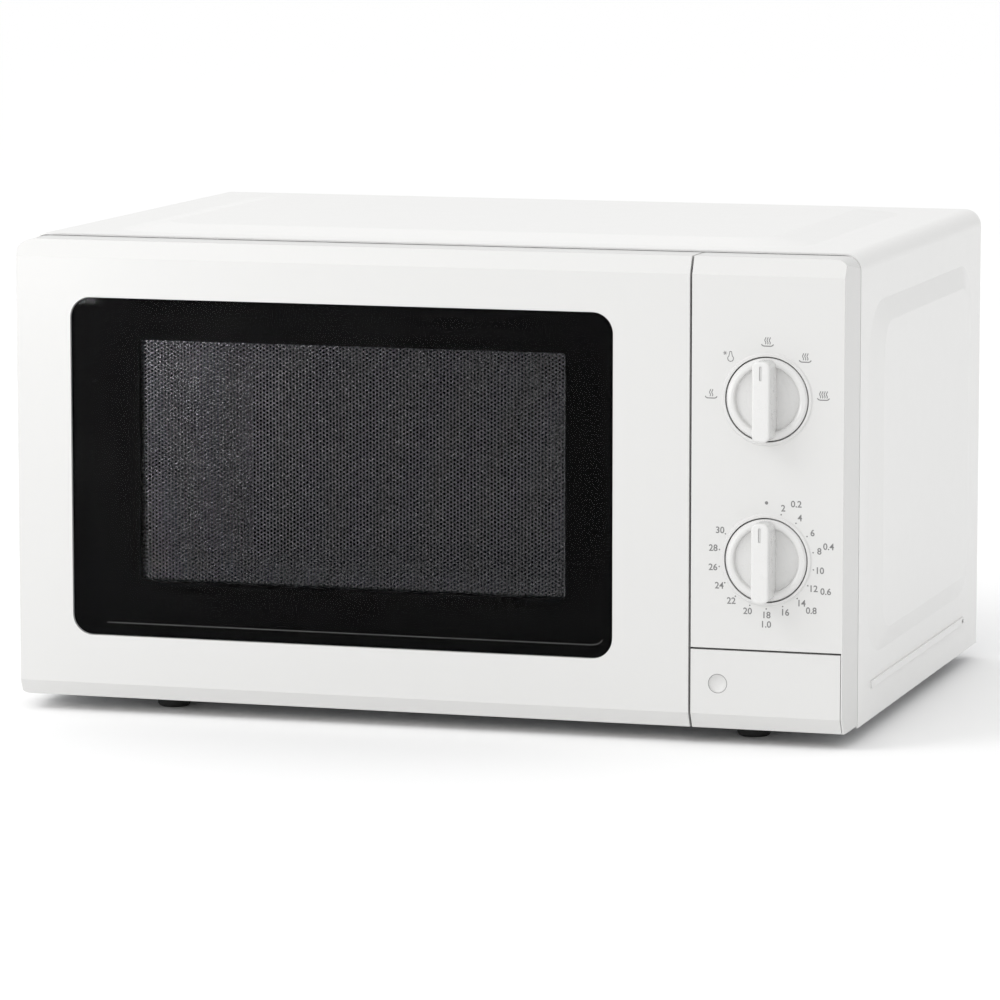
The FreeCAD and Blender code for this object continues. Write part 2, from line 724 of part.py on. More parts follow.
def make_control_panel():
    """Moulded panel with a raised collar round each dial and room for the release plate."""
    x = (D.panel_left, half_cover)
    draft = half_cover - half_face
    form = moulded_front(x, (0, draft), [0, 2.0, D.panel_corner, 0])
    hollow = front_hollow(x, (D.shell, D.shell + 1.0), [1, 1, 5.5, 1])
    plate_opening = block((D.panel_left - 1, D.plate_right + 0.3), (-1, D.face_depth - 0.9),
                          (-1, D.plate_top + D.plate_seam))
    tools = [plate_opening]
    collars = []
    for z in (D.power_z, D.timer_z):
        collars.append(taper("y", (D.dial_x, -0.8, z), D.dial_radius + 1.9, D.dial_radius + 2.7, 0.81))
        collars.append(rod("y", (D.dial_x, 0.5, z), D.dial_radius + 2.4, 6.5))
        tools.append(rod("y", (D.dial_x, -2, z), D.dial_radius + D.dial_gap, 7))
        tools.append(rod("y", (D.dial_x, -2, z), 5.0, 12))
    shelf = block((D.panel_left, half_cover - 2.5), (1.5, D.face_depth - 1),
                  (D.plate_top + D.plate_seam, D.plate_top + D.plate_seam + D.shell))
    guide = block((D.panel_left, D.panel_left + 1.6), (6, D.face_depth), (2, D.plate_top))
    finish("control_panel", cut(fuse(cut(form, hollow), *collars, shelf, guide), *tools))


LEVER_FACE = D.body_start + 5.2


def make_release_plate():
    """Plate that is pushed in to open the door, with its thumb mark, post and spring."""
    x = (D.panel_left, D.plate_right)
    top = D.plate_top
    reach = D.face_depth - 6.5
    side = padded("yz", x[0] - 1, x[1] + 1, ("poly", [
        (0, D.low_bevel_height), (0, top), (reach, top), (reach, 0), (D.low_bevel_depth, 0)]))
    face = padded("xz", 0, reach, ("rect", x, (0, top), 0))
    form = common(side, face)
    hollow = block((x[0] + D.shell, x[1] - D.shell), (3.2, reach + 1), (3.4, top - D.shell))
    sides = block((x[0] - 1, x[1] + 1), (5.5, reach + 1), (-1, top + 1))
    keep = block((x[0] + 3, x[1] - 3), (5.4, reach), (0.2, top - 0.4))
    skirt = cut(keep, hollow)
    dish = turned("y", [(0, -6.0), (4.8, -6.0), (4.8, 0.0), (4.2, 0.75), (3.0, 1.35), (1.5, 1.65), (0, 1.75)],
                  D.dimple_x, 0, D.dimple_z)
    post = rod("y", (D.hook_x + 22, 3.0, 20), 2.5, reach - 3.0)
    pusher = block((D.hook_x + 15, D.hook_x + 18.5), (3.0, LEVER_FACE - 0.3), (26, 34))
    face_part = cut(form, hollow, sides)
    finish("release_plate", cut(fuse(face_part, skirt, post, pusher), dish))
    strip = folded_strip(20, 4.0, 3.8, D.body_start - 0.8, 0.4, 6)
    middle = D.hook_x + 72
    finish("plate_spring", padded("yz", middle - 3, middle + 3, ("poly", [(y, z) for z, y in strip])))


def dial(label, x, z):
    """A round dial with a straight grip bar across its face and a pointer groove."""
    radius = D.dial_radius
    disc = turned("y", [
        (0, 1.8), (11, 1.7), (radius - 4.7, 1.2), (radius - 4.2, -0.9), (radius - 3.6, -1.4),
        (radius - 2.6, -1.6), (radius - 0.9, -1.3), (radius, -0.4), (radius, 4.8), (0, 4.8)], x, 0, z)
    half = D.grip_width / 2
    bar = padded("xz", -D.grip_rise, 2.0,
                 ("rect", (x - half, x + half), (z - D.grip_reach, z + D.grip_reach), 3.2))
    bar = soften(bar, 1.1, lambda edge: abs(middle_of(edge).y + float(D.grip_rise)) < 0.01)
    hub = rod("y", (x, 4.5, z), 4.7, 4.0)
    bore = rod("y", (x, 3.0, z), D.shaft_radius + 0.02, 8.0)
    pointer = padded("xz", -D.grip_rise - 1, -D.grip_rise + 0.7,
                     ("rect", (x - 0.7, x + 0.7), (z + 10.9, z + 18.1), 0.6))
    finish(label, cut(fuse(disc, bar, hub), bore, pointer))


def make_dials():
    """Both dials and their shafts, each with a flat that turns the control behind it."""
    for name, z in (("power", D.power_z), ("timer", D.timer_z)):
        dial(f"{name}_knob", D.dial_x, z)
        shaft = rod("y", (D.dial_x, 3.4, z), D.shaft_radius, 24.0)
        flat = block((D.dial_x - 4, D.dial_x + 4), (2, 10.5), (z + 2.2, z + 5))
        finish(f"{name}_shaft", cut(shaft, flat))


# ---------------------------------------------------------------- chassis and cavity

def make_front_frame():
    """Painted front sheet of the chassis, with the mouth of the cavity."""
    y = (D.body_start, D.body_start + D.sheet)
    outline = ("rect", (-half_cover + 1.3, half_cover - 1.3), (0.6, D.cover_top - 1.4), [2, 2, 7, 7])
    mouth = ("rect", (-D.cavity_left, D.cavity_right), (D.cavity_floor, D.cavity_ceiling), D.cavity_corner)
    slot_x = (D.hook_x - 3.4, D.hook_x + 3.4)
    hook_slots = [("rect", slot_x, (z - 8, z + 15), 1.5) for z in (D.hook_low, D.hook_high)]
    shafts = [("rect", (D.dial_x - 30, D.dial_x + 30), (z - 26, z + 26), 4)
              for z in (D.power_z, D.timer_z)]
    pusher = ("rect", (D.hook_x + 12, D.hook_x + 22), (22, 38), 2)
    finish("front_frame", padded("xz", y[0], y[1], outline, mouth, *hook_slots, *shafts, pusher))


def make_cavity():
    """Cavity walls with lamp and air holes, its back, and the cover over the wave window."""
    start = D.body_start + D.sheet + 0.05
    x = (-D.cavity_left, D.cavity_right)
    z = (D.cavity_floor, D.cavity_ceiling)
    wall = D.sheet
    outer = ("rect", (x[0] - wall, x[1] + wall), (z[0] - wall, z[1] + wall), D.cavity_corner + wall)
    tube = padded("xz", start, D.cavity_rear, outer, ("rect", x, z, D.cavity_corner))
    coupler_hole = rod("z", (table_x, D.table_depth, D.cavity_floor - 3), 9.0, 6)
    wave_window = block((D.cavity_right - 3, D.cavity_right + 3), (132, 204), (187, 204))
    lamp_holes = [rod("x", (D.cavity_right - 3, 226 + 6 * i, 192 + 6 * j), 1.7, 6)
                  for i in range(5) for j in range(4)]
    air_holes = [rod("x", (-D.cavity_left - 3, 236 + 7 * i, 186 + 7 * j), 2.0, 6)
                 for i in range(6) for j in range(3)]
    finish("cavity_shell", cut(tube, coupler_hole, wave_window, *lamp_holes, *air_holes))
    back = padded("xz", D.cavity_rear + 0.05, D.cavity_rear + D.sheet, outer)
    finish("cavity_back", back)
    finish("waveguide_cover", padded("yz", D.cavity_right - 1.4, D.cavity_right - 0.6,
                                     ("rect", (126, 210), (181, 207.5), 3)))


def make_turntable():
    """Turntable motor, its three-lobed coupler, the glass tray and the roller ring."""
    centre = (table_x, D.table_depth)
    floor = D.cavity_floor
    reach = D.roller_reach
    roller_z = floor + D.roller_gap + D.roller_radius
    motor_can = turned("z", [(0, 3.2), (24.5, 3.2), (25.5, 4.2), (25.5, 15.5), (24.5, 16.5), (0, 16.5)],
                       *centre, 0)
    ears = padded("xy", 16.3, 17.3, ("rect", (table_x - 33, table_x + 33),
                                     (D.table_depth - 6, D.table_depth + 6), 5),
                  ("circle", table_x, D.table_depth, 5.0))
    bore = rod("z", (*centre, 10), 3.6, 12)
    finish("turntable_motor", cut(fuse(motor_can, ears), bore))
    hub = turned("z", [(0, 11), (3.5, 11), (3.5, 19), (7.6, 21), (7.6, 26), (5.5, 29.5), (0, 29.5)],
                 *centre, 0)
    lobes = []
    for index in range(3):
        lobe = block((0, 13.5), (-2.2, 2.2), (25.5, 31.5))
        turn = math.radians(120 * index + 90)
        side = Vector(math.sin(turn) * 2.2, -math.cos(turn) * 2.2, 0)
        lobes.append(place(lobe, table_x + side.x, D.table_depth + side.y, 25.5,
                           rotation=Rotation(Vector(0, 0, 1), 120 * index + 90)))
    finish("turntable_coupler", fuse(hub, *lobes))
    make_tray(centre)
    make_roller_ring(centre, roller_z, reach)


def make_tray(centre):
    """Glass tray with a raised rim and a socket for the coupler."""
    low = D.tray_height
    radius = D.tray_radius
    thick = 4.5
    profile = [(0, low), (radius - 24, low), (radius - 12, low + 2), (radius - 2.5, low + 9.0),
               (radius, low + 10.5), (radius, low + 13.5), (radius - 4, low + 13.0),
               (radius - 15, low + 6.0), (radius - 26, low + thick), (0, low + thick)]
    plate = turned("z", profile, *centre, 0)
    lugs = []
    for index in range(3):
        angle = math.radians(120 * index + 30)
        spot = (table_x + 12 * math.cos(angle), D.table_depth + 12 * math.sin(angle), low - 4.2)
        lugs.append(rod("z", spot, 2.4, 4.6))
    finish("glass_tray", fuse(plate, *lugs))


def make_roller_ring(centre, roller_z, reach):
    """Ring that carries the three rollers under the tray."""
    ring_low = roller_z - 2.0
    rim = turned("z", [(reach - 12, ring_low), (reach - 7.5, ring_low), (reach - 7.5, ring_low + 4),
                       (reach - 12, ring_low + 4)], *centre, 0)
    hub = turned("z", [(17, ring_low), (21, ring_low), (21, ring_low + 4), (17, ring_low + 4)],
                 *centre, 0)
    spokes = []
    axles = []
    for index in range(3):
        angle = 120 * index - 90
        turn = Rotation(Vector(0, 0, 1), angle)
        across = Vector(math.sin(math.radians(angle)), -math.cos(math.radians(angle)), 0)
        spoke = doc.addObject("Part::Box", "Spoke")
        bind(spoke, "Length", reach - 30)
        spoke.Width = 5
        spoke.Height = 3.2
        along = Vector(math.cos(math.radians(angle)), math.sin(math.radians(angle)), 0)
        spokes.append(place(spoke, table_x + 20 * along.x + 2.5 * across.x,
                            D.table_depth + 20 * along.y + 2.5 * across.y, ring_low + 0.4,
                            rotation=turn))
        axle = doc.addObject("Part::Cylinder", "Axle")
        axle.Radius = 1.6
        bind(axle, "Height", 18)
        axles.append(place(axle, table_x + (reach - 9) * along.x, D.table_depth + (reach - 9) * along.y,
                           roller_z, rotation=turn * ALONG["x"]))
        wheel = turned("x", [(1.6 + D.fit, -4.0), (D.roller_radius - 0.6, -4.0),
                             (D.roller_radius, -3.2), (D.roller_radius, 3.2),
                             (D.roller_radius - 0.6, 4.0), (1.6 + D.fit, 4.0)])
        place(wheel, table_x + reach * along.x, D.table_depth + reach * along.y, roller_z, rotation=turn)
        finish(f"roller_{index + 1}", wheel)
    finish("roller_ring", fuse(rim, hub, *spokes, *axles))


# ---------------------------------------------------------------- hinge and latch

def make_hinges():
    """Two hinge arms with their pins."""
    for name, z, up in (("lower", 5.0, True), ("upper", D.face_height - 8.0, False)):
        x = (-D.hinge_x - 3.0, -D.hinge_x + 3.0)
        arm = block(x, (D.hinge_y, D.body_start - 0.05), (z, z + 3))
        eye = rod("z", (-D.hinge_x, D.hinge_y, z), 3.0, 3)
        pin_z = z + 2.9 if up else z - 9.9
        pin = rod("z", (-D.hinge_x, D.hinge_y, pin_z), D.pin_radius, 10.0)
        finish(f"hinge_{name}", fuse(arm, eye, pin))


def make_latch_board():
    """Bracket behind the front frame: hook guide, lever pivot and the three door switches."""
    x = (D.hook_x + 7.0, D.hook_x + 10.0)
    y = (D.body_start + D.sheet + 0.1, 82)
    plate = padded("yz", x[0], x[1], ("rect", y, (50, 200), 4), ("rect", (40, 70), (100, 150), 6))
    ledges = [block((D.hook_x - 6, x[1]), (30, 36), (z - 13, z - 8.5)) for z in (D.hook_low, D.hook_high)]
    roof = block((D.hook_x - 6, x[1]), (y[0], 60), (197.5, 200))
    pivot = rod("x", (x[1] - 0.5, 50, 66), 2.4, 9.0)
    finish("latch_board", fuse(plate, *ledges, roof, pivot))
    switches = []
    names = ("primary_switch", "secondary_switch", "monitor_switch")
    for name, z in zip(names, (178, 84, 158)):
        start = x[1] + 0.05
        body = block((start, start + 10.2), (46, 74), (z, z + 16))
        button = block((start + 3.5, start + 6.5), (44.2, 46.5), (z + 9, z + 12))
        tabs = [block((start + 3, start + 6), (73.5, 81), (z + dz, z + dz + 0.8)) for dz in (2, 8, 13)]
        switches.append(fuse(body, button, *tabs))
    finish("door_switches", group(*switches))


def make_release_lever():
    """Lever that turns a push on the release plate into a lift of the hooks."""
    x = (D.hook_x + 10.8, D.hook_x + 14.2)
    arm = padded("yz", x[0], x[1], ("poly", [
        (45, 60), (55, 60), (56, 72), (49, 76), (40, 71), (LEVER_FACE, 50), (LEVER_FACE, 25),
        (LEVER_FACE + 3.5, 25), (LEVER_FACE + 5, 47)]))
    toe = block((x[0], D.hook_x + 19), (LEVER_FACE, LEVER_FACE + 3.5), (26, 34))
    hole = rod("x", (x[0] - 1, 50, 66), 2.4 + D.fit, 8)
    finish("release_lever", cut(fuse(arm, toe), hole))


# ---------------------------------------------------------------- electrics

def make_control_units():
    """Timer and power selector behind the dials, and the bell."""
    for name, z, depth in (("timer_unit", D.timer_z, 32), ("power_selector", D.power_z, 24)):
        start = D.face_depth - 5.0
        half = 24 if name == "timer_unit" else 20
        case = block((D.dial_x - half, D.dial_x + half), (start, start + depth), (z - 19, z + 19))
        nose = rod("y", (D.dial_x, start - 3, z), 6.0, 4)
        tabs = [block((D.dial_x + dx, D.dial_x + dx + 6), (start + depth - 0.5, start + depth + 8),
                      (z + dz, z + dz + 0.8)) for dx in (-16, 0, 12) for dz in (-10, 8)]
        bore = rod("y", (D.dial_x, start - 4, z), D.shaft_radius + D.fit, 12)
        finish(name, cut(fuse(case, nose, *tabs), bore))
    y = D.face_depth - 5.0 + 32 + 9.0
    z = D.timer_z
    finish("timer_bell", turned("y", [(0, 9.0), (1.5, 9.0), (1.5, 1.0), (14, 1.0), (16, 3.0), (16, 9.0),
                                      (17, 9.0), (17, 2.5), (14.5, 0), (0, 0)],
                                D.dial_x, y, z))


def make_microwave_source():
    """Waveguide, magnetron with its cooling fins, and its filter box."""
    guide_x = (D.cavity_right + D.sheet + 0.1, 206.0)
    guide_y = (122, 214)
    guide_z = (184, 222)
    shell = hollow_box(guide_x, guide_y, guide_z, 1.0, "-x")
    launch = rod("z", (D.bay_middle + 6, 168, guide_z[0] - 1), 9.0, 4)
    finish("waveguide", cut(shell, launch))
    centre_x = D.bay_middle + 6
    yoke_x = (centre_x - 40, centre_x + 34)
    yoke_y = (130, 206)
    yoke_z = (116, 182)
    yoke = cut(block(yoke_x, yoke_y, yoke_z),
               block((yoke_x[0] + 1.6, yoke_x[1] - 1.6), (yoke_y[0] - 1, yoke_y[1] + 1),
                     (yoke_z[0] + 1.6, yoke_z[1] - 1.6)))
    flange = padded("xy", 182, 183.8, ("rect", (yoke_x[0] - 1, yoke_x[1] + 1), (124, 212), 5))
    core = rod("z", (centre_x - 3, 168, 117), 19.0, 65)
    antenna = turned("z", [(0, 183.0), (8.0, 183.0), (8.0, 199), (5.0, 203), (0, 203)],
                     centre_x, 168, 0)
    finish("magnetron_body", fuse(yoke, flange, core, antenna))
    fins = [block((yoke_x[0] + 3, yoke_x[1] - 3), (133, 203), (123 + 7 * i, 123.8 + 7 * i)) for i in range(8)]
    hole = rod("z", (centre_x - 3, 168, 118), 19.1, 62)
    finish("magnetron_fins", group(*[cut(fin, hole) for fin in fins]))
    filter_box = hollow_box((centre_x - 34, centre_x + 30), (142, 196), (83, 115.9), 1.0, "+y")
    socket = block((centre_x - 12, centre_x + 8), (196, 205), (90, 104))
    back = block((centre_x - 34, centre_x + 30), (195.0, 196.0), (83, 115.9))
    finish("magnetron_filter_box", fuse(filter_box, back, socket))


def make_transformer():
    """High-voltage transformer: laminated core and two windings."""
    x = (126.0, 206.0)
    y = (120.0, 172.0)
    z = (4.0, 72.0)
    limb = 13
    window_width = 14.0
    frame = block(x, y, z)
    windows = [block((left, left + window_width), (y[0] - 1, y[1] + 1), (z[0] + 12, z[1] - 12))
               for left in (x[0] + limb, x[1] - limb - window_width)]
    feet = block((x[0] - 4, x[1] + 4), (y[0] + 6, y[1] - 6), (2.05, 4.0))
    finish("transformer_core", cut(fuse(frame, feet), *windows))
    coils = []
    for low, high in ((z[0] + 12.5, z[0] + 32), (z[0] + 36, z[1] - 12.5)):
        coils.append(padded("xy", low, high,
                            ("rect", (x[0] + limb + 0.5, x[1] - limb - 0.5), (y[0] - limb, y[1] + limb), 9),
                            ("rect", (x[0] + 26.9, x[1] - 26.9), (y[0] - 0.5, y[1] + 0.5), 0)))
    finish("transformer_windings", group(*coils))


def make_capacitor():
    """High-voltage capacitor with its strap, and the diode beside it."""
    can = padded("xz", 196, 282, ("rect", (130, 182), (6, 38), 15.5))
    tabs = [block((146 + 18 * i, 152 + 18 * i), (281.5, 291), (20, 20.8)) for i in range(2)]
    finish("capacitor", fuse(can, *tabs))
    strap = padded("xz", 228, 242, ("rect", (128.8, 183.2), (4.6, 39.2), 16.7),
                   ("rect", (129.9, 182.1), (5.9, 38.1), 15.6))
    tab = block((183.0, 196), (228, 242), (2.05, 3.6))
    leg = block((182.0, 183.4), (228, 242), (2.05, 24))
    finish("capacitor_strap", fuse(strap, tab, leg))
    diode = rod("y", (196, 206, 52), 4.0, 20)
    leads = rod("y", (196, 196, 52), 0.6, 42)
    finish("high_voltage_diode", fuse(diode, leads))


def make_filter_board():
    """Mains filter board with its choke and terminal blocks."""
    board = padded("xy", 226, 227.6, ("rect", (130, 206), (224, 300), 3))
    choke = turned("z", [(5, 227.5), (11, 227.5), (11, 236), (5, 236)], 150, 246, 0)
    blocks = [block((170, 196), (232, 243), (227.5, 238)), block((170, 192), (252, 260), (227.5, 236)),
              block((140, 160), (270, 278), (227.5, 234)), block((172, 200), (270, 292), (227.5, 237))]
    finish("filter_board", fuse(board, choke, *blocks))


def make_fan():
    """Cooling fan: motor, blades and the shroud with its duct."""
    x = D.bay_middle
    z = D.fan_z
    plate = padded("xz", 262, 263, ("rect", (x - 42.5, x + 44), (z - 44, z + 44), 4),
                   ("circle", x, z, D.fan_radius + 2.0))
    shroud = ring("y", (x, 262, z), D.fan_radius + 3.0, D.fan_radius + 2.0, 22)
    legs = [block((x - 42.5, x - 41.0), (262, D.body_depth - 3.1), (z + dz, z + dz + 10)) for dz in (-44, 34)]
    legs += [block((x + 42.5, x + 44), (262, D.body_depth - 3.1), (z + dz, z + dz + 10)) for dz in (-44, 34)]
    strut = block((x - 42.5, x + 44), (296, 297.5), (z - 44, z - 34))
    strut_top = block((x - 42.5, x + 44), (296, 297.5), (z + 34, z + 44))
    post = [block((x - 20, x - 14), (296, 297.5), (z - 40, z + 40)),
            block((x + 14, x + 20), (296, 297.5), (z - 40, z + 40))]
    stack = block((x - 24, x + 24), (D.fan_y + 12.6, 295.9), (z - 20, z + 22))
    coil_form = rod("x", (x - 14, D.fan_y + 16, z - 14), 3.2, 28)
    bore = rod("y", (x, D.fan_y + 5, z), 2.6, 30)
    finish("fan_motor", cut(fuse(stack, coil_form), bore))
    blades = []
    blade_count = 5
    blade_pitch = 55
    for index in range(blade_count):
        blade = doc.addObject("Part::Box", "Blade")
        bind(blade, "Length", D.fan_radius - 6)
        blade.Width = 1.2
        blade.Height = 20
        turn = (Rotation(Vector(0, 1, 0), 360 / blade_count * index)
                * Rotation(Vector(1, 0, 0), blade_pitch))
        offset = turn.multVec(Vector(5.0, -0.6, -10))
        blades.append(place(blade, x + offset.x, D.fan_y + offset.y, z + offset.z, rotation=turn))
    hub = turned("y", [(0, -7), (7.5, -7), (8.5, -6), (8.5, 7), (0, 7)], x, D.fan_y, z)
    shaft = rod("y", (x, D.fan_y + 6, z), 1.5, 12.0)
    finish("fan_blades", fuse(hub, shaft, *blades))
    duct = hollow_box((x - 41, 212.5), (208, 262.2), (112, 180), 1.0, "-y")
    mouth = rod("y", (x, 255, z), 30.0, 10)
    finish("fan_shroud", fuse(plate, shroud, *legs, strut, strut_top, *post, cut(duct, mouth)))


def make_lamp():
    """Cavity lamp and its socket, outside the right wall."""
    x = D.cavity_right + D.sheet
    socket = block((x + 26, x + 44), (230, 250), (196, 214))
    plate = block((x + 0.1, x + 1.1), (222, 258), (189, 221))
    cage = [block((x + 1.0, x + 44), (230, 231.2), (194, 196.2)),
            block((x + 1.0, x + 44), (248.8, 250), (194, 196.2))]
    hole = rod("x", (x - 2, 240, 203), 9.0, 5)
    finish("lamp_socket", cut(fuse(socket, plate, *cage), hole))
    bulb = turned("x", [(0, 6), (4, 6.6), (7.5, 9), (8.5, 13), (7.0, 17), (5.0, 20), (4.6, 25.9), (0, 25.9)],
                  x, 240, 205.2)
    finish("lamp_bulb", bulb)


def make_thermal_cutouts():
    """Two thermal cut-outs, on the magnetron and on the ceiling of the cavity."""
    discs = []
    base = rod("x", (204.1, 150, 150), 9.0, 4.0)
    cap = rod("x", (208.0, 150, 150), 6.5, 5.0)
    discs.append(fuse(base, cap))
    base = rod("z", (20, 230, D.cavity_ceiling + D.sheet + 0.05), 9.0, 4.0)
    cap = rod("z", (20, 230, D.cavity_ceiling + D.sheet + 4.0), 6.5, 5.0)
    discs.append(fuse(base, cap))
    finish("thermal_cutouts", group(*discs))


def make_gland():
    """Ring in the rear panel through which a mains cord would pass."""
    start = D.body_depth - 6.0
    body = turned("y", [(3.6, start), (6.6, start), (6.6, D.body_depth - 2.0), (9.5, D.body_depth - 1.95),
                        (9.5, D.body_depth + 0.8), (5.2, rear_end), (3.6, rear_end)], GLAND_X, 0, GLAND_Z)
    finish("cord_gland", body)


# ---------------------------------------------------------------- document

def check_and_write():
    """Check every object, then write one STEP file for each sub-part."""
    doc.recompute()
    faults = []
    for obj in doc.Objects:
        if {"Invalid", "Error"} & set(obj.State):
            faults.append(f"{obj.Name} ({obj.Label}): {obj.State}")
    for obj in nodes:
        if obj.Shape.isNull() or not obj.Shape.isValid() or not obj.Shape.Solids:
            faults.append(f"{obj.Label}: no valid solid")
    if faults:
        raise SystemExit("\n".join(faults))
    os.makedirs("parts", exist_ok=True)
    for obj in nodes:
        obj.Shape.exportStep(f"parts/{obj.Label}.step")
        print(f"{obj.Label}: {len(obj.Shape.Solids)} solid(s), {obj.Shape.Volume / 1000:.2f} cm3")
    print(len(nodes), "sub-parts")


make_cover()
make_base_plate()
make_rear_panel()
make_feet()
make_screws()
make_door_frame()
make_door_window()
make_door_inner()
make_hooks()
make_hook_spring()
make_control_panel()
make_release_plate()
make_dials()
make_front_frame()
make_cavity()
make_turntable()
make_hinges()
make_latch_board()
make_release_lever()
make_control_units()
make_microwave_source()
make_transformer()
make_capacitor()
make_filter_board()
make_fan()
make_lamp()
make_thermal_cutouts()
make_gland()
check_and_write()
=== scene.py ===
"""Looks of a countertop microwave oven: finishes, printed marks, the pierced door screen and the studio."""

import json
import logging
import math
from contextlib import contextmanager
from dataclasses import dataclass, field
from enum import Enum
from typing import Callable, Iterator

import bpy
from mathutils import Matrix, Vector

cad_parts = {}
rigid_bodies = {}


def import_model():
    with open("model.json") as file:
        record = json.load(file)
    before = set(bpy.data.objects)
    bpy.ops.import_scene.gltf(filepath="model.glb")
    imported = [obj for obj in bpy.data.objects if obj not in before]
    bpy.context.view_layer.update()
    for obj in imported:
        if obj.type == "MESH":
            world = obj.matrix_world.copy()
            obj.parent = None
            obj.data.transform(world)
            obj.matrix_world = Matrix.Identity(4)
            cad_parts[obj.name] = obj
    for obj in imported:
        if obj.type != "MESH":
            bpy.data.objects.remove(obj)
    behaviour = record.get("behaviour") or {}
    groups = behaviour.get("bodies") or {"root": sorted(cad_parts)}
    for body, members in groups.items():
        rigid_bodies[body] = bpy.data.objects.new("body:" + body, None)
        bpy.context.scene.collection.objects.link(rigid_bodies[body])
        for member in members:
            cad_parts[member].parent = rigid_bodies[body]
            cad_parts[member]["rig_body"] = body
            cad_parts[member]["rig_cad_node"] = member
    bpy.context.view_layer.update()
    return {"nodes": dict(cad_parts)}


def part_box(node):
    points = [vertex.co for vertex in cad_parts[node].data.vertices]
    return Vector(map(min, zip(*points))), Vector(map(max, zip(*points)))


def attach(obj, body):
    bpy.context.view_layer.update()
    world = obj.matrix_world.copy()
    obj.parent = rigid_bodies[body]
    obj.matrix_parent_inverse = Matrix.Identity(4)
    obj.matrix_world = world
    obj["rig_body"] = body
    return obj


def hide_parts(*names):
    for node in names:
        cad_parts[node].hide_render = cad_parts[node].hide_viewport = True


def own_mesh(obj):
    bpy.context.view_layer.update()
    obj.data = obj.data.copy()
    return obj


log = logging.getLogger("oven")
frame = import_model()
Colour = tuple[float, float, float]
MM = 0.001
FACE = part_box("door_frame")[0].y
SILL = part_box("door_frame")[0].z
STANDING = math.radians(90)
DOUBLE = 1e-6
CAD_DOUBLE = 2e-6
CELL_DOUBLE = 1e-5
FLAT_ANGLE = math.radians(0.6)
EDGE_ANGLE = math.radians(34)


def at(x: float, y: float, z: float) -> Vector:
    """A point of the oven.

    Args:
        x: millimetres to the right of the middle.
        y: millimetres behind the front face.
        z: millimetres above the front face's lower edge.

    Returns:
        The point in metres in the shared frame.
    """
    return Vector((x * MM, FACE + y * MM, SILL + z * MM))


def middle_of(node: str) -> Vector:
    """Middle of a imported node's box, in metres."""
    low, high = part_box(node)
    return (low + high) / 2


# ---------------------------------------------------------------- hand tools


def pick(*objects: bpy.types.Object) -> None:
    """Select only these objects and make the first one active."""
    bpy.ops.object.select_all(action="DESELECT")
    for obj in objects:
        obj.select_set(True)
    bpy.context.view_layer.objects.active = objects[0]


@contextmanager
def editing(obj: bpy.types.Object, mode: str = "FACE") -> Iterator[None]:
    """Edit an object's mesh and come back to object mode.

    Args:
        obj: the mesh object.
        mode: VERT, EDGE or FACE selection.
    """
    pick(obj)
    bpy.ops.object.mode_set(mode="EDIT")
    bpy.ops.mesh.select_mode(type=mode)
    bpy.ops.mesh.select_all(action="SELECT")
    yield
    bpy.ops.object.mode_set(mode="OBJECT")


def select_faces(obj: bpy.types.Object, wanted: Callable[[bpy.types.MeshPolygon], bool]) -> None:
    """Select a mesh's faces by their place or normal, from inside edit mode.

    Args:
        obj: the mesh object that is being edited.
        wanted: says of a face whether it is selected.
    """
    bpy.ops.mesh.select_all(action="DESELECT")
    bpy.ops.object.mode_set(mode="OBJECT")
    for face in obj.data.polygons:
        face.select = wanted(face)
    bpy.ops.object.mode_set(mode="EDIT")


def settle(obj: bpy.types.Object, name: str) -> bpy.types.Object:
    """Put an object's place, turn and size into its mesh, and name it.

    Args:
        obj: the object.
        name: its name.

    Returns:
        The same object.
    """
    pick(obj)
    bpy.ops.object.transform_apply(location=True, rotation=True, scale=True)
    obj.name = obj.data.name = name
    return obj


def modify(obj: bpy.types.Object, kind: str, **settings: object) -> None:
    """Add a modifier, set it up and apply it.

    Args:
        obj: the mesh object.
        kind: the modifier's type.
        settings: its values.
    """
    pick(obj)
    bpy.ops.object.modifier_add(type=kind)
    added = obj.modifiers[-1]
    for key, value in settings.items():
        setattr(added, key, value)
    bpy.ops.object.modifier_apply(modifier=added.name)


def tidy_normals(obj: bpy.types.Object) -> None:
    """Merge doubles and turn every face outwards."""
    with editing(obj):
        bpy.ops.mesh.remove_doubles(threshold=DOUBLE)
        bpy.ops.mesh.normals_make_consistent(inside=False)


def smooth(obj: bpy.types.Object, degrees: float = 32) -> None:
    """Shade an object smooth, sharp where faces meet at more than this angle."""
    pick(obj)
    bpy.ops.object.shade_smooth_by_angle(angle=math.radians(degrees))


def copied(node: str, ending: str) -> bpy.types.Object:
    """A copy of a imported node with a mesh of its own.

    Args:
        node: the node's name.
        ending: what the copy's name has after the node's.

    Returns:
        The copy.
    """
    source = frame["nodes"][node]
    piece = source.copy()
    piece.data = source.data.copy()
    piece.parent = None
    for key in list(piece.keys()):
        del piece[key]
    bpy.context.scene.collection.objects.link(piece)
    piece.name = piece.data.name = f"{node}_{ending}"
    return piece


